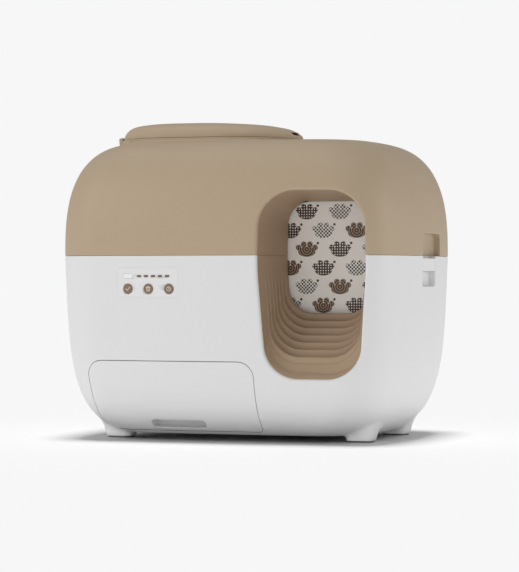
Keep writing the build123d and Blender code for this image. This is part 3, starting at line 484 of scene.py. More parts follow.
# ==== materials
def new_material(name):
    """Material with an empty node tree but its output and its shader."""
    material = bpy.data.materials.new(name)
    material.use_nodes = True
    tree = material.node_tree
    tree.nodes.clear()
    output = tree.nodes.new("ShaderNodeOutputMaterial")
    shader = tree.nodes.new("ShaderNodeBsdfPrincipled")
    tree.links.new(shader.outputs["BSDF"], output.inputs["Surface"])
    return material, tree, shader


def srgb(red, green, blue):
    """Linear colour from display values of 0 to 255."""
    values = []
    for value in (red, green, blue):
        share = value / 255
        values.append(share / 12.92 if share <= 0.04045 else ((share + 0.055) / 1.055) ** 2.4)
    return (*values, 1.0)


def add_node(tree, kind, **settings):
    """New node with values for its named inputs; _ stands for a space."""
    node = tree.nodes.new("ShaderNode" + kind)
    for name, value in settings.items():
        node.inputs[name.replace("_", " ")].default_value = value
    return node


def math_node(tree, operation, first, second=None):
    node = tree.nodes.new("ShaderNodeMath")
    node.operation = operation
    for place, value in enumerate((first, second)):
        if value is None:
            continue
        if isinstance(value, (int, float)):
            node.inputs[place].default_value = value
        else:
            tree.links.new(value, node.inputs[place])
    return node.outputs[0]


def mix_colour(tree, share, first, second):
    """Blend of two colours by a socket; each is a socket or a colour."""
    node = tree.nodes.new("ShaderNodeMix")
    node.data_type = "RGBA"
    tree.links.new(share, node.inputs[0])
    for place, value in ((6, first), (7, second)):
        if isinstance(value, tuple):
            node.inputs[place].default_value = value
        else:
            tree.links.new(value, node.inputs[place])
    return node.outputs[2]


def noise(tree, scale, detail=2.0, roughness=0.5):
    """Noise over the object's own coordinates; scale is per metre."""
    place = tree.nodes.new("ShaderNodeTexCoord")
    node = add_node(tree, "TexNoise", Scale=scale, Detail=detail, Roughness=roughness)
    tree.links.new(place.outputs["Object"], node.inputs["Vector"])
    return node.outputs["Fac"]


def remap(tree, value, low, high):
    """A 0 to 1 value stretched to low to high."""
    node = add_node(tree, "MapRange", To_Min=low, To_Max=high)
    tree.links.new(value, node.inputs["Value"])
    return node.outputs["Result"]


def bump(tree, shader, height, distance):
    node = add_node(tree, "Bump", Strength=1.0, Distance=distance)
    tree.links.new(height, node.inputs["Height"])
    tree.links.new(node.outputs["Normal"], shader.inputs["Normal"])


PLASTIC_IOR = 1.46
GLOSS_DRIFT = 0.06


def plastic(name, colour, roughness=0.5, grain=0.02, drift=0.03):
    """Moulded plastic: spark-eroded grain, slow drift of tone and of gloss."""
    material, tree, shader = new_material(name)
    slow = noise(tree, 9.0, 3.0)
    darker = tuple(c * (1 - drift) for c in colour[:3]) + (1.0,)
    lighter = tuple(min(1.0, c * (1 + drift)) for c in colour[:3]) + (1.0,)
    tree.links.new(mix_colour(tree, slow, darker, lighter), shader.inputs["Base Color"])
    gloss = remap(tree, noise(tree, 55.0, 4.0), roughness - GLOSS_DRIFT, roughness + GLOSS_DRIFT)
    tree.links.new(gloss, shader.inputs["Roughness"])
    shader.inputs["IOR"].default_value = PLASTIC_IOR
    bump(tree, shader, noise(tree, 2600.0, 2.0, 0.6), grain * MM)
    return material


def metal(name, colour, roughness=0.3):
    """Turned or rolled metal with fine lines across its length."""
    material, tree, shader = new_material(name)
    shader.inputs["Metallic"].default_value = 1.0
    place = tree.nodes.new("ShaderNodeTexCoord")
    stretch = add_node(tree, "Mapping", Scale=(400.0, 12.0, 12.0))
    lines = add_node(tree, "TexNoise", Scale=12.0, Detail=3.0)
    tree.links.new(place.outputs["Object"], stretch.inputs["Vector"])
    tree.links.new(stretch.outputs["Vector"], lines.inputs["Vector"])
    darker = tuple(c * 0.85 for c in colour[:3]) + (1.0,)
    tone = mix_colour(tree, lines.outputs["Fac"], darker, colour)
    tree.links.new(tone, shader.inputs["Base Color"])
    gloss = remap(tree, lines.outputs["Fac"], roughness - 0.08, roughness + 0.1)
    tree.links.new(gloss, shader.inputs["Roughness"])
    bump(tree, shader, lines.outputs["Fac"], 0.01 * MM)
    return material


def paint(piece, material):
    """Give the piece this material alone."""
    piece.data.materials.clear()
    piece.data.materials.append(material)
    for polygon in piece.data.polygons:
        polygon.material_index = 0


TAUPE = plastic("hood_taupe", srgb(188, 167, 140), 0.48)
TUNNEL = plastic("tunnel_taupe", srgb(173, 148, 121), 0.5)
WHITE = plastic("shell_white", srgb(236, 236, 236), 0.42, drift=0.008)
INNER_GREY = plastic("inner_grey", srgb(205, 203, 199), 0.55)
ACETAL = plastic("acetal", srgb(232, 229, 220), 0.38)
RUBBER = plastic("rubber_grey", srgb(120, 119, 117), 0.75, grain=0.05)
LINER_RUBBER = plastic("liner_grey", srgb(158, 157, 153), 0.7, grain=0.04)
BLACK = plastic("black_plastic", srgb(38, 38, 39), 0.5)
DARK_GLASS = plastic("sensor_window", srgb(44, 36, 30), 0.12, grain=0.0)
BROWN = plastic("button_brown", srgb(140, 116, 96), 0.45)
MARK = plastic("mark_brown", srgb(122, 106, 94), 0.5)
LIGHT = plastic("light_window", srgb(250, 250, 250), 0.25, grain=0.0, drift=0.0)
STEEL = metal("steel", srgb(196, 197, 199))
ZINC = metal("zinc_can", srgb(150, 152, 156), 0.38)


# ==== the flap's print
def step_below(tree, value, limit, soft):
    """1 where the value is under the limit, falling to 0 over the soft width."""
    node = add_node(tree, "MapRange", From_Min=limit - soft, From_Max=limit + soft,
                    To_Min=1.0, To_Max=0.0)
    node.interpolation_type = "SMOOTHSTEP"
    tree.links.new(value, node.inputs["Value"])
    return node.outputs["Result"]


def length_of(tree, x, z):
    squares = [math_node(tree, "MULTIPLY", part, part) for part in (x, z)]
    return math_node(tree, "SQRT", math_node(tree, "ADD", *squares))


def blob(tree, x, z, centre, size):
    """Share of an ellipse: x and z in millimetres from the motif's middle."""
    across, up = (
        math_node(tree, "DIVIDE", math_node(tree, "SUBTRACT", value, middle), half)
        for value, middle, half in zip((x, z), centre, size)
    )
    return step_below(tree, length_of(tree, across, up), 1.0, 0.05)


PRINT_DARK = srgb(70, 50, 38)
PRINT_BLACK = srgb(40, 36, 34)
PRINT_MID = srgb(84, 62, 46)
PRINT_TAN = srgb(170, 148, 124)
PRINT_SPECK = srgb(88, 72, 60)
PAW_PAD = ((0.0, -4.2), (15.6, 8.8))
PAW_TOES = (((-15.0, 3.0), (4.9, 5.0)), ((-5.6, 8.2), (5.2, 5.4)),
            ((5.6, 8.2), (5.2, 5.4)), ((15.0, 3.0), (4.9, 5.0)))
CHECK_SIZE = 3.1
DOT_STEP = 4.6
DOT_R = 1.15
RING_STEP = 4.2


def flap_material():
    """White satin sheet with rows of paw prints, filled with checks, dots or rings."""
    material, tree, shader = new_material("flap_print")

    def op(operation, first, second):
        return math_node(tree, operation, first, second)

    place = tree.nodes.new("ShaderNodeTexCoord")
    parts = tree.nodes.new("ShaderNodeSeparateXYZ")
    tree.links.new(place.outputs["Object"], parts.inputs[0])
    x_mm = op("MULTIPLY", parts.outputs["X"], 1000.0)
    z_mm = op("MULTIPLY", parts.outputs["Z"], 1000.0)
    row = math_node(tree, "FLOOR", op("DIVIDE", op("SUBTRACT", z_mm, ROW_Z), ROW_STEP))
    odd = op("MODULO", op("ADD", row, 40.0), 2.0)
    shift = op("MULTIPLY", odd, COLUMN_STEP / 2)
    from_left = op("SUBTRACT", op("ADD", x_mm, shift), COLUMN_X)
    column = math_node(tree, "FLOOR", op("DIVIDE", from_left, COLUMN_STEP))
    from_column = op("SUBTRACT", from_left, op("MULTIPLY", column, COLUMN_STEP))
    x = op("SUBTRACT", from_column, COLUMN_STEP / 2)
    z = op("SUBTRACT", z_mm, op("ADD", op("MULTIPLY", row, ROW_STEP), ROW_Z + ROW_STEP / 2))
    shape = blob(tree, x, z, *PAW_PAD)
    for toe in PAW_TOES:
        shape = op("MAXIMUM", shape, blob(tree, x, z, *toe))
    turn = op("ADD", row, op("MULTIPLY", column, 2.0))
    kind = op("MODULO", op("ADD", turn, 120.0), 3.0)
    is_first = step_below(tree, kind, 0.5, 0.01)
    is_last = op("SUBTRACT", 1.0, step_below(tree, kind, 1.5, 0.01))
    cells = [math_node(tree, "FLOOR", op("DIVIDE", value, CHECK_SIZE)) for value in (x, z)]
    checks = op("MODULO", op("ADD", op("ADD", *cells), 100.0), 2.0)
    wrapped = [op("MODULO", op("ADD", value, 62.0), DOT_STEP) for value in (x, z)]
    inside = [op("SUBTRACT", value, DOT_STEP / 2) for value in wrapped]
    dots = blob(tree, *inside, (0.0, 0.0), (DOT_R, DOT_R))
    rings = step_below(tree, op("MODULO", length_of(tree, x, z), RING_STEP), 1.5, 0.15)
    dotted = mix_colour(tree, dots, PRINT_DARK, srgb(246, 243, 238))
    checked = mix_colour(tree, checks, PRINT_BLACK, srgb(248, 246, 242))
    fill = mix_colour(tree, is_first, dotted, checked)
    fill = mix_colour(tree, is_last, fill, mix_colour(tree, rings, PRINT_MID, PRINT_TAN))
    speck = blob(tree, x, z, (20.0, 10.5), (2.3, 2.3))
    ground = mix_colour(tree, noise(tree, 14.0), srgb(248, 245, 240), srgb(252, 249, 245))
    ground = mix_colour(tree, speck, ground, PRINT_SPECK)
    tree.links.new(mix_colour(tree, shape, ground, fill), shader.inputs["Base Color"])
    tree.links.new(remap(tree, noise(tree, 70.0, 3.0), 0.38, 0.5), shader.inputs["Roughness"])
    bump(tree, shader, noise(tree, 2200.0, 2.0), 0.01 * MM)
    return material


FLAP_PRINT = flap_material()
FLAP_PLAIN = plastic("flap_plain", srgb(228, 225, 220), 0.45)
CREAM = plastic("sign_cream", srgb(238, 232, 220), 0.45, grain=0.0)
PANEL_WHITE = plastic("panel_white", srgb(238, 238, 238), 0.34, grain=0.006, drift=0.005)


# ==== stage
FLOOR_HALF = 9e4


def make_stage():
    corners = [(x * FLOOR_HALF, y * FLOOR_HALF, 0) for x, y in ((-1, -1), (1, -1), (1, 1), (-1, 1))]
    floor = make_object("floor", corners, [(0, 1, 2, 3)], smooth=False)
    material, tree, shader = new_material("floor_white")
    shader.inputs["Base Color"].default_value = (0.8, 0.8, 0.8, 1.0)
    shader.inputs["Roughness"].default_value = 1.0
    shader.inputs["Specular IOR Level"].default_value = 0.0
    paint(floor, material)
    return floor


def make_world():
    """White surroundings: even light, and the same white as the floor behind the object."""
    world = bpy.data.worlds.new("studio")
    world.use_nodes = True
    tree = world.node_tree
    tree.nodes.clear()
    output = tree.nodes.new("ShaderNodeOutputWorld")
    seen = add_node(tree, "Background", Color=(*[BACKGROUND] * 3, 1.0))
    light = add_node(tree, "Background", Color=(1.0, 1.0, 1.0, 1.0), Strength=WORLD_LIGHT)
    path = tree.nodes.new("ShaderNodeLightPath")
    choose = tree.nodes.new("ShaderNodeMixShader")
    tree.links.new(path.outputs["Is Camera Ray"], choose.inputs[0])
    tree.links.new(light.outputs[0], choose.inputs[1])
    tree.links.new(seen.outputs[0], choose.inputs[2])
    tree.links.new(choose.outputs[0], output.inputs["Surface"])
    bpy.context.scene.world = world


BACKGROUND = 0.93
WORLD_LIGHT = 0.38
# place, aim, width, height, power
LIGHTS = {
    "key": ((-1900, -2000, 1500), (0, 0, 300), 1500, 1400, 15.5),
    "top": ((-300, -200, 2300), (0, 0, 400), 2200, 1800, 10.0),
    "right": ((2500, 500, 900), (200, 0, 250), 1200, 1200, 9.0),
    "low": ((100, -3300, 160), (0, 0, 60), 3000, 500, 4.0),
}
FLOOR_SUN = 2.458
FLOOR_SUN_ANGLE = 18.0
FEET_LIGHT = ((100, -3300, 160), (0, 0, 20), 3000, 500, 36.0)


def area_light(name, place, aim, width, height, power):
    data = bpy.data.lights.new(name, "AREA")
    data.shape = "RECTANGLE"
    data.size = width * MM
    data.size_y = height * MM
    data.energy = power
    lamp = add_object(name, data)
    lamp.location = Vector(place) * MM
    lamp.rotation_mode = "QUATERNION"
    lamp.rotation_quaternion = (Vector(aim) - Vector(place)).to_track_quat("-Z", "Y")
    return lamp


def light_feet(feet):
    """Stands for the light that the pale floor throws onto the feet."""
    feet_only = bpy.data.collections.new("feet_receivers")
    for foot in feet:
        feet_only.objects.link(foot)
    area_light("feet_light", *FEET_LIGHT).light_linking.receiver_collection = feet_only


def make_lights(floor):
    for name, setting in LIGHTS.items():
        lamp = area_light(name, *setting)
        pieces_only = bpy.data.collections.new(f"{name}_receivers")
        pieces_only.objects.link(floor)
        pieces_only.collection_objects[0].light_linking.link_state = "EXCLUDE"
        lamp.light_linking.receiver_collection = pieces_only
    data = bpy.data.lights.new("floor_sun", "SUN")
    data.energy = FLOOR_SUN
    data.angle = math.radians(FLOOR_SUN_ANGLE)
    sun = add_object("floor_sun", data)
    floor_only = bpy.data.collections.new("floor_sun_receivers")
    floor_only.objects.link(floor)
    sun.light_linking.receiver_collection = floor_only


stage_floor = make_stage()
make_world()
make_lights(stage_floor)
bpy.context.scene.view_settings.view_transform = "Standard"

CAD_LOOKS = (
    (TAUPE, "hood_shell lid_shell"),
    (TUNNEL, "entry_steps entry_surround"),
    (WHITE, "base_shell drawer_front control_panel latch_left latch_right drawer_handle_pocket"
            " bottom_cover flap_panel"),
    (RUBBER, "foot_pads seam_gasket"),
    (LINER_RUBBER, "drum_liner roller_front roller_rear"),
    (INNER_GREY, "drum_shell drum_mouth_ring litter_sieve drum_cradle drawer_tray drawer_rails"
                 " corridor_floor lid_inner"),
    (ACETAL, "ring_gear drive_pinion drum_axle drum_bushing"),
    (BLACK, "power_inlet carbon_filter control_board"),
    (DARK_GLASS, "entry_sensor"),
    (BROWN, "button_clean button_empty button_menu"),
    (MARK, "level_bars"),
    (LIGHT, "status_light"),
    (STEEL, "cover_screws lid_screws motor_screws roller_axles latch_pins lid_hinge_rod"
            " flap_rod weight_sensors"),
    (ZINC, "drive_motor"),
)
for look, node_names in CAD_LOOKS:
    for node_name in node_names.split():
        paint(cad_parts[node_name], look)

# ==== cutting and edging
FRONT_START_Y = -400.0
SIDE_START_X = 400.0
# depths of a cut past those starts: through the front wall, into it, and through a side
FRONT_CUT = (120, 250)
PANEL_CUT = (140, 175)
DRAWER_CUT = (120, 300)
HANDLE_CUT = (100, 300)
BACK_CUT = (600, 660)
SIDE_CUT = (60, 98)
INTO = np.array([0.0, 1.0, 0.0])
UP = np.array([0.0, 0.0, 1.0])
HOLD_EDGE_R = 1.4
LATCH_EDGE_R = 1.2
HANDLE_EDGE_R = 1.6
DRAWER_EDGE_R = 0.8
PANEL_EDGE_R = 0.25


def from_front(points):
    """Points (x, z) lifted to where lines into the front start."""
    return at_y(points, FRONT_START_Y)


def from_side(side):
    """The same for points (y, z) and a side of the body, 1 for the right."""
    def lift(points):
        return np.column_stack([np.full(len(points), SIDE_START_X * side), points])
    return lift


def prism(outline, lift, into, start, stop):
    """Closed cutter from an outline, between two depths past the lifted points."""
    ground = lift(outline)
    return closed(rings_object("cutter", [ground + into * start, ground + into * stop], True, True))


def closed(piece):
    """Turn every face outwards."""
    fix = bmesh.new()
    fix.from_mesh(piece.data)
    bmesh.ops.recalc_face_normals(fix, faces=fix.faces)
    fix.to_mesh(piece.data)
    fix.free()
    return piece


def surface_points(starts, into):
    """Where the lines from the starts meet the body, with the normals there."""
    found, normals = [], []
    for start in starts:
        point, normal = skin.hit(start, into)
        if point is None:
            point, normal = found[-1], normals[-1]
        found.append(point)
        normals.append(normal)
    return np.array(found), np.array(normals)


def edge_rings(outline, outward, lift, into, radius, way, deep, steps=5):
    """Rings of a rounded edge. way is 1 round a hole and -1 round a plate.

    The edge starts on the body, beside the outline, turns into the wall and ends deep below.
    """
    starts = lift(outline + outward * radius * way)
    points, normals = surface_points(starts, into)
    flat = lift(outline + outward) - lift(outline)
    across = -way * flat
    slope = -np.einsum("ij,ij->i", normals, across) / (normals @ into)
    across = across + slope[:, None] * into
    rings = []
    for turn in np.linspace(0, math.pi / 2, steps + 1):
        down = into * radius * (1 - math.cos(turn))
        rings.append(points + across * radius * math.sin(turn) + down)
    rings.append(rings[-1] + into * deep)
    return rings


def plate_rings(outline, outward, lift, into, radius, deep, proud, shares):
    """Rings of a plate that lies on the body: from its back edge to its middle."""
    edge = edge_rings(outline, outward, lift, into, radius, -1, deep)[::-1]
    middle = outline.mean(axis=0)
    inner = outline - outward * radius
    rings = [ring - into * proud for ring in edge]
    for share in shares:
        points, _ = surface_points(lift(middle + (inner - middle) * share), into)
        rings.append(points - into * proud)
    return rings


def oriented(piece, towards):
    """Flip the piece's faces if they mostly look away from a direction."""
    total = Vector()
    for polygon in piece.data.polygons:
        total += polygon.normal * polygon.area
    if total.dot(Vector(towards)) < 0:
        piece.data.flip_normals()
    return piece


def cut_at_seam(piece, keep):
    """Keep what is above the seam (1) or below it (-1)."""
    work = bmesh.new()
    work.from_mesh(piece.data)
    height = (SEAM_Z + keep * SEAM_HALF_GAP) * MM
    bmesh.ops.bisect_plane(
        work, geom=work.verts[:] + work.edges[:] + work.faces[:], dist=1e-7,
        plane_co=(0, 0, height), plane_no=(0, 0, keep), clear_inner=True,
    )
    work.to_mesh(piece.data)
    work.free()
    return piece


def dress(piece, material, node, body):
    """Material, place in the motion, and the CAD node that the piece stands for."""
    paint(piece, material)
    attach(piece, body)
    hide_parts(node)


skin_pairs = base_profile(0, 0)[::-1] + hood_profile(0)[1:]
skin_rings = rings_object("form", [section(z, inset) for z, inset in skin_pairs], True, True)
skin = Form(closed(skin_rings))
bpy.data.objects.remove(skin_rings)

mouth, mouth_out = entry_outline(0)


def slot_outline(centre, length, height):
    """Long hole with round ends: points and outward normals."""
    return rectangle(length, height, height / 2 - 0.01, centre, arc=10, edge=10)


# ==== the funnel
def stair_stations():
    """(depth, share of the climb) along the stair's profile, from the first riser in."""
    tread = (DOORWAY_Y - FIRST_RISER_Y) / (STAIR_COUNT - 1)
    climb = ENTRY_BOTTOM_Z[1] - ENTRY_BOTTOM_Z[0]
    stations = []
    for step in range(1, STAIR_COUNT):
        y = FIRST_RISER_Y + (step - 1) * tread
        low = FIRST_RISER_T + (1 - FIRST_RISER_T) * (step - 1) / (STAIR_COUNT - 1)
        high = FIRST_RISER_T + (1 - FIRST_RISER_T) * step / (STAIR_COUNT - 1)
        for turn in np.linspace(0, math.pi / 2, 4):
            depth = y - STEP_FOOT_R + STEP_FOOT_R * math.sin(turn)
            stations.append((depth, low + STEP_FOOT_R * (1 - math.cos(turn)) / climb))
        for turn in np.linspace(0, math.pi / 2, 6):
            depth = y + STEP_NOSE_R * (1 - math.cos(turn))
            stations.append((depth, high - STEP_NOSE_R * (1 - math.sin(turn)) / climb))
    stations.append((DOORWAY_Y, 1.0))
    return stations


def funnel_rings(lip_end):
    """Rings of the entry's inside, from the lip to the doorway."""
    start = lip_end[:, 1]
    heights = mouth[:, 1]
    steps_share = 1 - np.clip((heights - STEPS_FADE_Z) / STEPS_FADE_HEIGHT, 0, 1)
    steps_share = steps_share**2 * (3 - 2 * steps_share)
    rings = []
    levels = [(share, None) for share in np.linspace(0, 1, 7)[:-1]]
    levels += [(None, station) for station in stair_stations()]
    table = np.array([entry_outline(t)[0] for t in np.linspace(0, 1, 201)])
    for front_share, station in levels:
        if station is None:
            depths = start + (FIRST_RISER_Y - STEP_FOOT_R - start) * front_share
            climb = np.full(len(mouth), FIRST_RISER_T * (front_share**1.35))
        else:
            depths = np.full(len(mouth), station[0])
            climb = np.full(len(mouth), station[1])
        smooth = np.clip((depths - start) / (DOORWAY_Y - start), 0, 1)
        shares = np.clip(steps_share * climb + (1 - steps_share) * smooth, 0, 1) * 200
        low = np.clip(shares.astype(int), 0, 199)
        part = (shares - low)[:, None]
        index = np.arange(len(mouth))
        flat = table[low, index] * (1 - part) + table[low + 1, index] * part
        rings.append(np.column_stack([flat[:, 0], depths, flat[:, 1]]))
    return rings


def make_funnel():
    """The entry's lip and stepped tunnel, parted at the seam."""
    lip = edge_rings(mouth, mouth_out, from_front, INTO, LIP_R, 1, 0.0, steps=8)[:-1]
    rings = funnel_rings(lip[-1])
    flange, flange_out = entry_outline(1)
    back = [
        (0.0, DOORWAY_Y + 3.4), (0.6, FLANGE_BACK_Y), (FLANGE_REACH, FLANGE_BACK_Y),
        (FLANGE_REACH, DOORWAY_Y + 0.2), (LINER_WALL, DOORWAY_Y + 0.2),
    ]
    rings += [at_y(flange + flange_out * grow, y) for grow, y in back]
    near, near_out = entry_outline(0.1)
    rings.append(at_y(near + near_out * LINER_WALL, lip[-1][:, 1] + 2.0))
    rings.append(rings[0])
    for name, keep, body, node in (("entry_hood_liner", 1, "hood", "entry_surround"),
                                   ("entry_step_liner", -1, "base", "entry_steps")):
        piece = closed(rings_object(name, rings))
        cut_at_seam(piece, keep)
        dress(piece, TUNNEL, node, body)
        piece.modifiers.new("soften", "WEIGHTED_NORMAL").keep_sharp = True
    for name, keep, body, node, look in (("hood_entry_lip", 1, "hood", "hood_shell", TAUPE),
                                         ("base_entry_lip", -1, "base", "base_shell", WHITE)):
        piece = oriented(rings_object(name, lip), (0, -1, 0))
        cut_at_seam(piece, keep)
        dress(piece, look, node, body)


make_funnel()


# ==== skins
def lid_outline(grow):
    """Plan outline of the lid, grown: points and normals."""
    size = (LID_LENGTH + 2 * grow, LID_WIDTH + 2 * grow)
    return rectangle(*size, LID_R + grow, (LID_X, 0), arc=26, edge=8)


def pocket_rings(outline, outward, lift, into, radius, axis, wall_end, floor, shares):
    """Rings of a pocket: rounded edge, wall down to wall_end, then its floor."""
    rings = edge_rings(outline, outward, lift, into, radius, 1, 0.0)[:-1]
    bottom = rings[-1].copy()
    bottom[:, axis] = wall_end
    rings.append(bottom)
    for share in shares:
        ring = shrunk(bottom, share)
        ring[:, axis] = floor
        rings.append(ring)
    return rings


def make_hood():
    hood = thick_shell("hood_skin", hood_profile(0), hood_profile(WALL), 1)
    cutters = [prism(mouth + mouth_out * LIP_R, from_front, INTO, *FRONT_CUT)]
    port, _ = lid_outline(PORT_GROW)
    cutters.append(prism(port, upwards, UP, 450, 560))
    for side in (-1, 1):
        hold, _ = rectangle(HOLD_LENGTH + 2, 2 * (HOLD_TOP_Z + 1 - 300), 8, (HOLD_Y, 300))
        cutters.append(prism(hold, from_side(side), np.array([-side, 0, 0.0]), *SIDE_CUT))
    boolean(hood, cutters)
    skin.take_normals(hood)
    dress(hood, TAUPE, "hood_shell", "hood")
    rings = []
    plan, plan_out = lid_outline(0)
    for turn in np.linspace(0, math.pi / 2, 9):
        out = COLLAR_GROW + COLLAR_FLARE * (1 - math.sin(turn))
        points, _ = surface_points(upwards(plan + plan_out * out, 700.0), -UP)
        points[:, 2] += COLLAR_RISE * (1 - math.cos(turn)) + 0.02
        rings.append(points)
    for out, z in ((COLLAR_GROW, 523.0), (COLLAR_GROW, 525.8), (COLLAR_GROW - 0.35, 526.65),
                   (COLLAR_GROW - 1.2, COLLAR_TOP_Z), (PORT_GROW + 1, COLLAR_TOP_Z),
                   (PORT_GROW, 526.0), (PORT_GROW, 500.0)):
        rings.append(upwards(plan + plan_out * out, z))
    collar = oriented(rings_object("hood_collar", rings), (0, 0, 1))
    dress(collar, TAUPE, "hood_shell", "hood")


def make_hold_edges():
    """Rounded edges and pockets of the hand-holds and of the latch grips."""
    for side in (-1, 1):
        into = np.array([-side, 0, 0.0])
        for name, y, length, low, high, look, node, body, keep in (
            ("hand_hold", HOLD_Y, HOLD_LENGTH, 240.0, HOLD_TOP_Z,
             TAUPE, "hood_shell", "hood", 1),
            ("latch_grip", GRIP_Y, GRIP_LENGTH, GRIP_BOTTOM_Z, 380.0,
             WHITE, "base_shell", "base", -1),
        ):
            middle = (y, (high + low) / 2)
            outline, outward = rectangle(length, high - low, 7, middle, arc=8, edge=16)
            rings = pocket_rings(outline, outward, from_side(side), into, HOLD_EDGE_R, 0,
                                 side * (HOLD_FLOOR_X + 2.0), side * HOLD_FLOOR_X, (0.99, 0.9, 0.5))
            label = "right" if side > 0 else "left"
            pocket = rings_object(f"{name}_{label}", rings, cap_end=True)
            cut_at_seam(pocket, keep)
            oriented(pocket, (side, 0, 0))
            dress(pocket, look, node, body)


drawer_corners = [
    (DRAWER_RIGHT_X - 1, DRAWER_TOP_Z), (DRAWER_LEFT_X, DRAWER_TOP_Z),
    (DRAWER_FOOT_X, DRAWER_FOOT_Z), (DRAWER_RIGHT_X, DRAWER_FOOT_Z),
]
drawer_line, drawer_out = rounded_outline(
    drawer_corners, [27, 27, 8, 8], [14, 14, 8, 8], [40, 16, 40, 16])
handle_line, handle_out = slot_outline((HANDLE_X, HANDLE_Z), HANDLE_LENGTH, HANDLE_HEIGHT)
panel_line, panel_out = rectangle(
    PANEL_WIDTH, PANEL_HEIGHT, PANEL_R, (PANEL_X, PANEL_Z), edge=10)


def make_base():
    base = thick_shell("base_skin", base_profile(0, 0), base_profile(WALL, BASE_FLOOR), -1)
    cutters = [prism(mouth + mouth_out * LIP_R, from_front, INTO, *FRONT_CUT)]
    cutters.append(prism(drawer_line + drawer_out * 1.8, from_front, INTO, *DRAWER_CUT))
    cutters.append(prism(panel_line + panel_out * 0.35, from_front, INTO, *PANEL_CUT))
    for side in (-1, 1):
        grip, _ = rectangle(GRIP_LENGTH + 2, 2 * (340 - GRIP_BOTTOM_Z + 1), 8, (GRIP_Y, 340))
        cutters.append(prism(grip, from_side(side), np.array([-side, 0, 0.0]), *SIDE_CUT))
    inlet, _ = rectangle(INLET_WIDTH, INLET_HEIGHT, 1.5, (INLET_X, INLET_Z))
    cutters.append(prism(inlet, from_front, INTO, *BACK_CUT))
    cover, _ = rectangle(COVER_SIZE + 0.6, COVER_SIZE + 0.6, 2, (COVER_X, COVER_Y))
    cutters.append(prism(cover, upwards, UP, 5, 15))
    boolean(base, cutters)
    skin.take_normals(base)
    dress(base, WHITE, "base_shell", "base")
    for name, outline, outward, radius, deep in (
        ("drawer_gap_edge", drawer_line + drawer_out, drawer_out, DRAWER_EDGE_R, 5.0),
        ("panel_groove_edge", panel_line + panel_out * 0.1, panel_out, PANEL_EDGE_R, 2.0),
    ):
        rings = edge_rings(outline, outward, from_front, INTO, radius, 1, deep)
        dress(oriented(rings_object(name, rings), (0, -1, 0)), WHITE, "base_shell", "base")


def make_drawer():
    shares = (0.985, 0.95, 0.9, 0.84, 0.77, 0.69, 0.6, 0.5, 0.4, 0.3, 0.2, 0.1, 0.02)
    rings = plate_rings(drawer_line, drawer_out, from_front, INTO, DRAWER_EDGE_R, 4.0, 0.0, shares)
    front = oriented(rings_object("drawer_front_skin", rings, cap_end=True), (0, -1, 0))
    boolean(front, [prism(handle_line + handle_out * HANDLE_EDGE_R, from_front, INTO, *HANDLE_CUT)])
    skin.take_normals(front)
    dress(front, WHITE, "drawer_front", "drawer")
    rings = pocket_rings(handle_line, handle_out, from_front, INTO, HANDLE_EDGE_R, 1,
                         HANDLE_POCKET_Y - 5.0, HANDLE_POCKET_Y - 3.0, (0.985, 0.8, 0.4))
    pocket = rings_object("drawer_finger_pocket", rings, cap_end=True)
    dress(oriented(pocket, (0, -1, 0)), WHITE, "drawer_handle_pocket", "drawer")


make_hood()
make_hold_edges()
make_base()
make_drawer()

# ==== feet
FOOT_LENGTH = 46.0
FOOT_WIDTH = 42.0
FOOT_R = 12.0
FOOT_BEND_Z = 9.0
PAD_TOP_Z = 3.02


def make_feet():
    """Four feet that flare into the underside."""
    feet = []
    for side_x in (-1, 1):
        for side_y in (-1, 1):
            centre = (side_x * FOOT_X, side_y * FOOT_Y)
            rings = []
            for grow, z in ((-8.0, PAD_TOP_Z), (-0.8, PAD_TOP_Z), (0.0, 3.8)):
                plan, plan_out = rectangle(FOOT_LENGTH + 2 * grow, FOOT_WIDTH + 2 * grow,
                                           FOOT_R + grow, centre, arc=10, edge=6)
                rings.append(upwards(plan, z))
            low = upwards(plan + plan_out * 2.0, FOOT_BEND_Z)
            bend, _ = surface_points(upwards(plan + plan_out * 5.0, -50.0), UP)
            far, _ = surface_points(upwards(plan + plan_out * 21.0, -50.0), UP)
            bend[:, 2] = np.maximum(bend[:, 2], low[:, 2] + 1.5)
            for share in np.linspace(0, 1, 11):
                ring = low * (1 - share) ** 2 + bend * 2 * share * (1 - share) + far * share**2
                rings.append(ring + (0, 0, 0.05 * share))
            place = f"{'right' if side_x > 0 else 'left'}_{'rear' if side_y > 0 else 'front'}"
            foot = closed(rings_object(f"foot_{place}", rings, cap_start=True))
            dress(foot, WHITE, "base_shell", "base")
            feet.append(foot)
    light_feet(feet)


# ==== lid
def smooth_levels(levels, steps):
    """Catmull-Rom spline through rows of numbers."""
    rows = np.array(levels, float)
    rows = np.concatenate([[2 * rows[0] - rows[1]], rows, [2 * rows[-1] - rows[-2]]])
    out = []
    for place in range(1, len(rows) - 2):
        a, b, c, d = rows[place - 1:place + 3]
        for share in np.linspace(0, 1, steps, endpoint=False):
            out.append(0.5 * (2 * b + (c - a) * share + (2 * a - 5 * b + 4 * c - d) * share**2
                              + (3 * b - a - 3 * c + d) * share**3))
    out.append(rows[-2])
    return np.array(out)


def lid_ring(level, thin=0.0, drop=0.0):
    z, left, right, width, radius = level
    length = LID_LENGTH - left - right - 2 * thin
    plan, _ = rectangle(length, LID_WIDTH - width - 2 * thin, radius - thin,
                        (LID_X + (left - right) / 2, 0), arc=22, edge=8)
    return upwards(plan, z - drop)


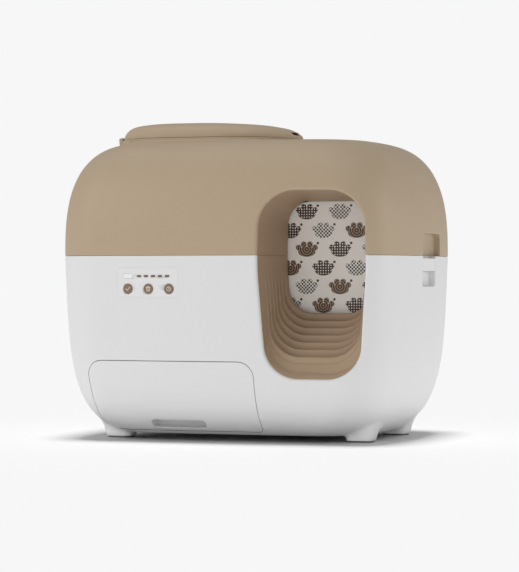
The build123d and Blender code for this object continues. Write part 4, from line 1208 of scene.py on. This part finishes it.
def make_lid():
    side = smooth_levels(LID_SIDE, 5)
    top = smooth_levels(LID_TOP, 6)
    outer = [lid_ring(level) for level in side] + [lid_ring(level) for level in top[1:]]
    crown = outer[-1]
    for share, rise in ((0.8, 0.75), (0.6, 1.3), (0.4, 1.65), (0.2, 1.85), (0.03, 1.9)):
        outer.append(shrunk(crown, share) + (0, 0, rise))
    inner = [lid_ring(level, LID_WALL) for level in side]
    inner += [lid_ring(level, LID_WALL, 2.6) for level in top[1:]]
    inner.append(shrunk(inner[-1], 0.03))
    rim = [lid_ring(side[0], 0.8), lid_ring(side[0], 2.4)]
    outer[0][:, 2] += 0.7
    lid = closed(rings_object("lid_skin", inner[::-1] + rim[::-1] + outer, True, True))
    slot, _ = rectangle(38, 5, 2.49, (0, FINGER_SLOT_Z), arc=8, edge=6)
    boolean(lid, [prism(slot, from_side(1), np.array([-1.0, 0, 0]), 320, 350)])
    dress(lid, TAUPE, "lid_shell", "lid")
    lid.modifiers.new("soften", "WEIGHTED_NORMAL").keep_sharp = True


def rod_along_y(name, profile, start, stop):
    """Solid with an (x, z) profile and softened ends."""
    flat = np.array(profile)
    edge = 0.5
    ends = ((start, 0.02), (start, 0.93), (start + edge, 1.0),
            (stop - edge, 1.0), (stop, 0.93), (stop, 0.02))
    rings = [at_y(shrunk(flat, share), y) for y, share in ends]
    return closed(rings_object(name, rings, True, True))


def hinge_arc(radius, turns):
    return [(LID_HINGE_X + radius * math.cos(t), LID_HINGE_Z + radius * math.sin(t)) for t in turns]


def knuckle(radius, stem_x, stem_low):
    """Profile of a hinge knuckle: round above, running down and right into a stem."""
    turns = np.linspace(math.radians(-20), math.radians(200), 19)
    points = hinge_arc(radius, turns)
    points += [(LID_HINGE_X - radius * 0.8, LID_HINGE_Z - 9), (LID_HINGE_X + 1, stem_low),
               (stem_x, stem_low), (stem_x, LID_HINGE_Z - 4.5)]
    return points


def make_hinge():
    for start, stop in ((-44.0, -34.5), (-13.5, 13.5), (34.5, 44.0)):
        lug = rod_along_y("hood_hinge_lug", knuckle(3.6, LID_HINGE_X + 12, 507.0), start, stop)
        dress(lug, TAUPE, "hood_shell", "hood")
    for start, stop in ((-34.0, -14.0), (14.0, 34.0)):
        turns = np.linspace(math.radians(60), math.radians(330), 20)
        points = hinge_arc(4.5, turns)
        points += [(LID_HINGE_X + 10.5, 527.8), (LID_HINGE_X + 10.5, 534.0)]
        barrel = rod_along_y("lid_hinge_barrel", points, start, stop)
        dress(barrel, TAUPE, "lid_shell", "lid")


# ==== panel, buttons, marks
def disc(centre, radius, steps=40):
    turns = np.linspace(0, 2 * math.pi, steps, endpoint=False)
    outward = np.column_stack([np.cos(turns), np.sin(turns)])
    return np.array(centre) + radius * outward, outward


def front_plate(name, outline, outward, radius, deep, proud, shares=(0.8, 0.5, 0.2, 0.02),
                start=False):
    rings = plate_rings(outline, outward, from_front, INTO, radius, deep, proud, shares)
    return closed(rings_object(name, rings, start, True))


def stroke(path, width):
    """Outline and normals of a line with round ends, for each straight run of the path."""
    runs = []
    for start, stop in zip(path[:-1], path[1:]):
        start, stop = np.array(start, float), np.array(stop, float)
        along = stop - start
        turn = math.atan2(along[1], along[0])
        length = float(np.linalg.norm(along))
        points, outward = rectangle(length + width, width, width / 2 - 0.01, arc=5, edge=3)
        spin = np.array([[math.cos(turn), math.sin(turn)], [-math.sin(turn), math.cos(turn)]])
        runs.append((points @ spin + (start + stop) / 2, outward @ spin))
    return runs


def ring_path(centre, radius, start, stop, count):
    turns = np.radians(np.linspace(start, stop, count))
    return [(centre[0] + radius * math.cos(t), centre[1] + radius * math.sin(t)) for t in turns]


def icon_paths(kind, centre):
    """Strokes of a button's sign: a tick, a bin or a dial."""
    x, z = centre
    if kind == "clean":
        return [[(x - 3.6, z + 0.2), (x - 1.0, z - 2.8), (x + 3.8, z + 2.9)]]
    if kind == "empty":
        return [[(x - 3.6, z + 2.4), (x + 3.6, z + 2.4)], [(x - 1.1, z + 3.7), (x + 1.1, z + 3.7)],
                [(x - 2.7, z + 1.6), (x - 2.2, z - 3.7), (x + 2.2, z - 3.7), (x + 2.7, z + 1.6)],
                [(x, z + 0.4), (x, z - 1.9)]]
    hands = [[(x, z), (x, z + 2.1)], [(x, z), (x + 1.5, z - 0.9)]]
    return [ring_path(centre, 3.6, 0, 360, 19), *hands]


def make_panel():
    panel = front_plate("control_panel_skin", panel_line, panel_out, PANEL_EDGE_R, 2.0, 0.0,
                        (0.97, 0.85, 0.6, 0.3, 0.05), True)
    light, light_out = slot_outline((LIGHT_X, LIGHT_Z), *LIGHT_SIZE)
    holes = [prism(light + light_out * 0.12, from_front, INTO, *PANEL_CUT)]
    bars = []
    for place in range(5):
        centre = (LEVEL_X + LEVEL_PITCH * place, LIGHT_Z)
        bar, bar_out = rectangle(*LEVEL_SIZE, 1.2, centre, arc=4, edge=3)
        bars.append((bar, bar_out))
        holes.append(prism(bar + bar_out * 0.12, from_front, INTO, *PANEL_CUT))
    centres = [(BUTTON_X + BUTTON_PITCH * place, BUTTON_Z) for place in (-1, 0, 1)]
    for centre in centres:
        rim, _ = disc(centre, BUTTON_R + 0.45)
        holes.append(prism(rim, from_front, INTO, *PANEL_CUT))
    boolean(panel, holes)
    dress(panel, PANEL_WHITE, "control_panel", "base")
    window = front_plate("status_light_window", light, light_out, 0.5, 2.0, 0.4)
    dress(window, LIGHT, "status_light", "base")
    marks = [front_plate("bar", *bar, 0.3, 2.0, 0.25) for bar in bars]
    dress(join("level_marks", marks), MARK, "level_bars", "base")
    for kind, centre in zip(("clean", "empty", "menu"), centres):
        rim, rim_out = disc(centre, BUTTON_R)
        cap = front_plate(f"button_{kind}_cap", rim, rim_out, 1.3, 6.0, 0.8, (0.9, 0.6, 0.3, 0.03))
        dress(cap, BROWN, f"button_{kind}", f"{kind}_button")
        runs = [run for path in icon_paths(kind, centre) for run in stroke(path, 1.05)]
        strokes = [front_plate("stroke", *run, 0.12, 0.3, 0.95, (0.5, 0.05)) for run in runs]
        sign = join(f"button_{kind}_sign", strokes)
        paint(sign, CREAM)
        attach(sign, f"{kind}_button")


def make_latches():
    for side, label in ((-1, "left"), (1, "right")):
        outline, outward = rectangle(GRIP_LENGTH - 0.8, LATCH_TOP_Z - LATCH_BOTTOM_Z, 3,
                                     (GRIP_Y, (LATCH_TOP_Z + LATCH_BOTTOM_Z) / 2), arc=8, edge=10)
        into = np.array([-side, 0, 0.0])
        rings = plate_rings(outline, outward, from_side(side), into, LATCH_EDGE_R, 7.0, 0.0,
                            (0.9, 0.6, 0.3, 0.05))
        latch = closed(rings_object(f"latch_{label}_skin", rings, True, True))
        dress(latch, WHITE, f"latch_{label}", f"{label}_latch")


# ==== flap
def make_flap():
    outline, outward = entry_outline(1)
    near, far, edge = FLAP_AXIS_Y - 1.5, FLAP_AXIS_Y + 1.5, 0.8
    rings = [at_y(shrunk(outline, share), near) for share in (0.03, 0.4, 0.8, 0.94)]
    for turn in np.linspace(0, math.pi, 9):
        flat = outline + outward * (FLAP_GROW - edge + edge * math.sin(turn))
        first = turn < math.pi / 2
        y = near + edge * (1 - math.cos(turn)) if first else far - edge * (1 + math.cos(turn))
        rings.append(at_y(flat, y))
    rings += [at_y(shrunk(outline, share), far) for share in (0.94, 0.4, 0.03)]
    panel = closed(rings_object("flap_skin", rings, True, True))
    dress(panel, FLAP_PRINT, "flap_panel", "flap")
    panel.modifiers.new("soften", "WEIGHTED_NORMAL").keep_sharp = True
    turns = np.linspace(0, 2 * math.pi, 28, endpoint=False)
    circle = np.column_stack([np.zeros(28), np.cos(turns), np.sin(turns)])
    rings = []
    for x, radius in ((-36, 2.7), (-36, 4.4), (-35.4, 5.0), (35.4, 5.0), (36, 4.4), (36, 2.7)):
        rings.append(circle * radius + (ENTRY_X + x, FLAP_AXIS_Y, FLAP_AXIS_Z))
    barrel = closed(rings_object("flap_barrel", rings))
    dress(barrel, FLAP_PLAIN, "flap_panel", "flap")


def make_sensor():
    """The sensor's window over the entry, and the two brackets of the flap's rod."""
    outline, _ = rectangle(9, 5, 1.0, (SENSOR_X, SENSOR_Y), arc=4, edge=2)
    levels = ((0.05, 411.9), (0.8, 411.9), (1.0, 412.4), (1.0, 417.0), (0.05, 417.0))
    rings = [upwards(shrunk(outline, share), z) for share, z in levels]
    window = closed(rings_object("entry_sensor_window", rings, True, True))
    dress(window, DARK_GLASS, "entry_sensor", "hood")
    turns = np.linspace(0, math.pi, 13)
    profile = [(FLAP_AXIS_Y + 4 * math.sin(t), FLAP_AXIS_Z + 1 + 6 * math.cos(t)) for t in turns]
    profile += [(DOORWAY_Y + 3.0, FLAP_AXIS_Z - 5), (DOORWAY_Y + 3.0, FLAP_AXIS_Z + 7)]
    for side in (-1, 1):
        x = ENTRY_X + side * (FLAP_BARREL_HALF + 6)
        rings = []
        for offset, share in ((-3, 0.03), (-3, 0.9), (-2.4, 1), (2.4, 1), (3, 0.9), (3, 0.03)):
            flat = shrunk(np.array(profile), share)
            rings.append(np.column_stack([np.full(len(flat), x + offset), flat]))
        bracket = closed(rings_object("flap_bracket", rings, True, True))
        dress(bracket, TUNNEL, "entry_surround", "hood")


make_feet()
make_lid()
make_hinge()
make_panel()
make_latches()
make_flap()
make_sensor()
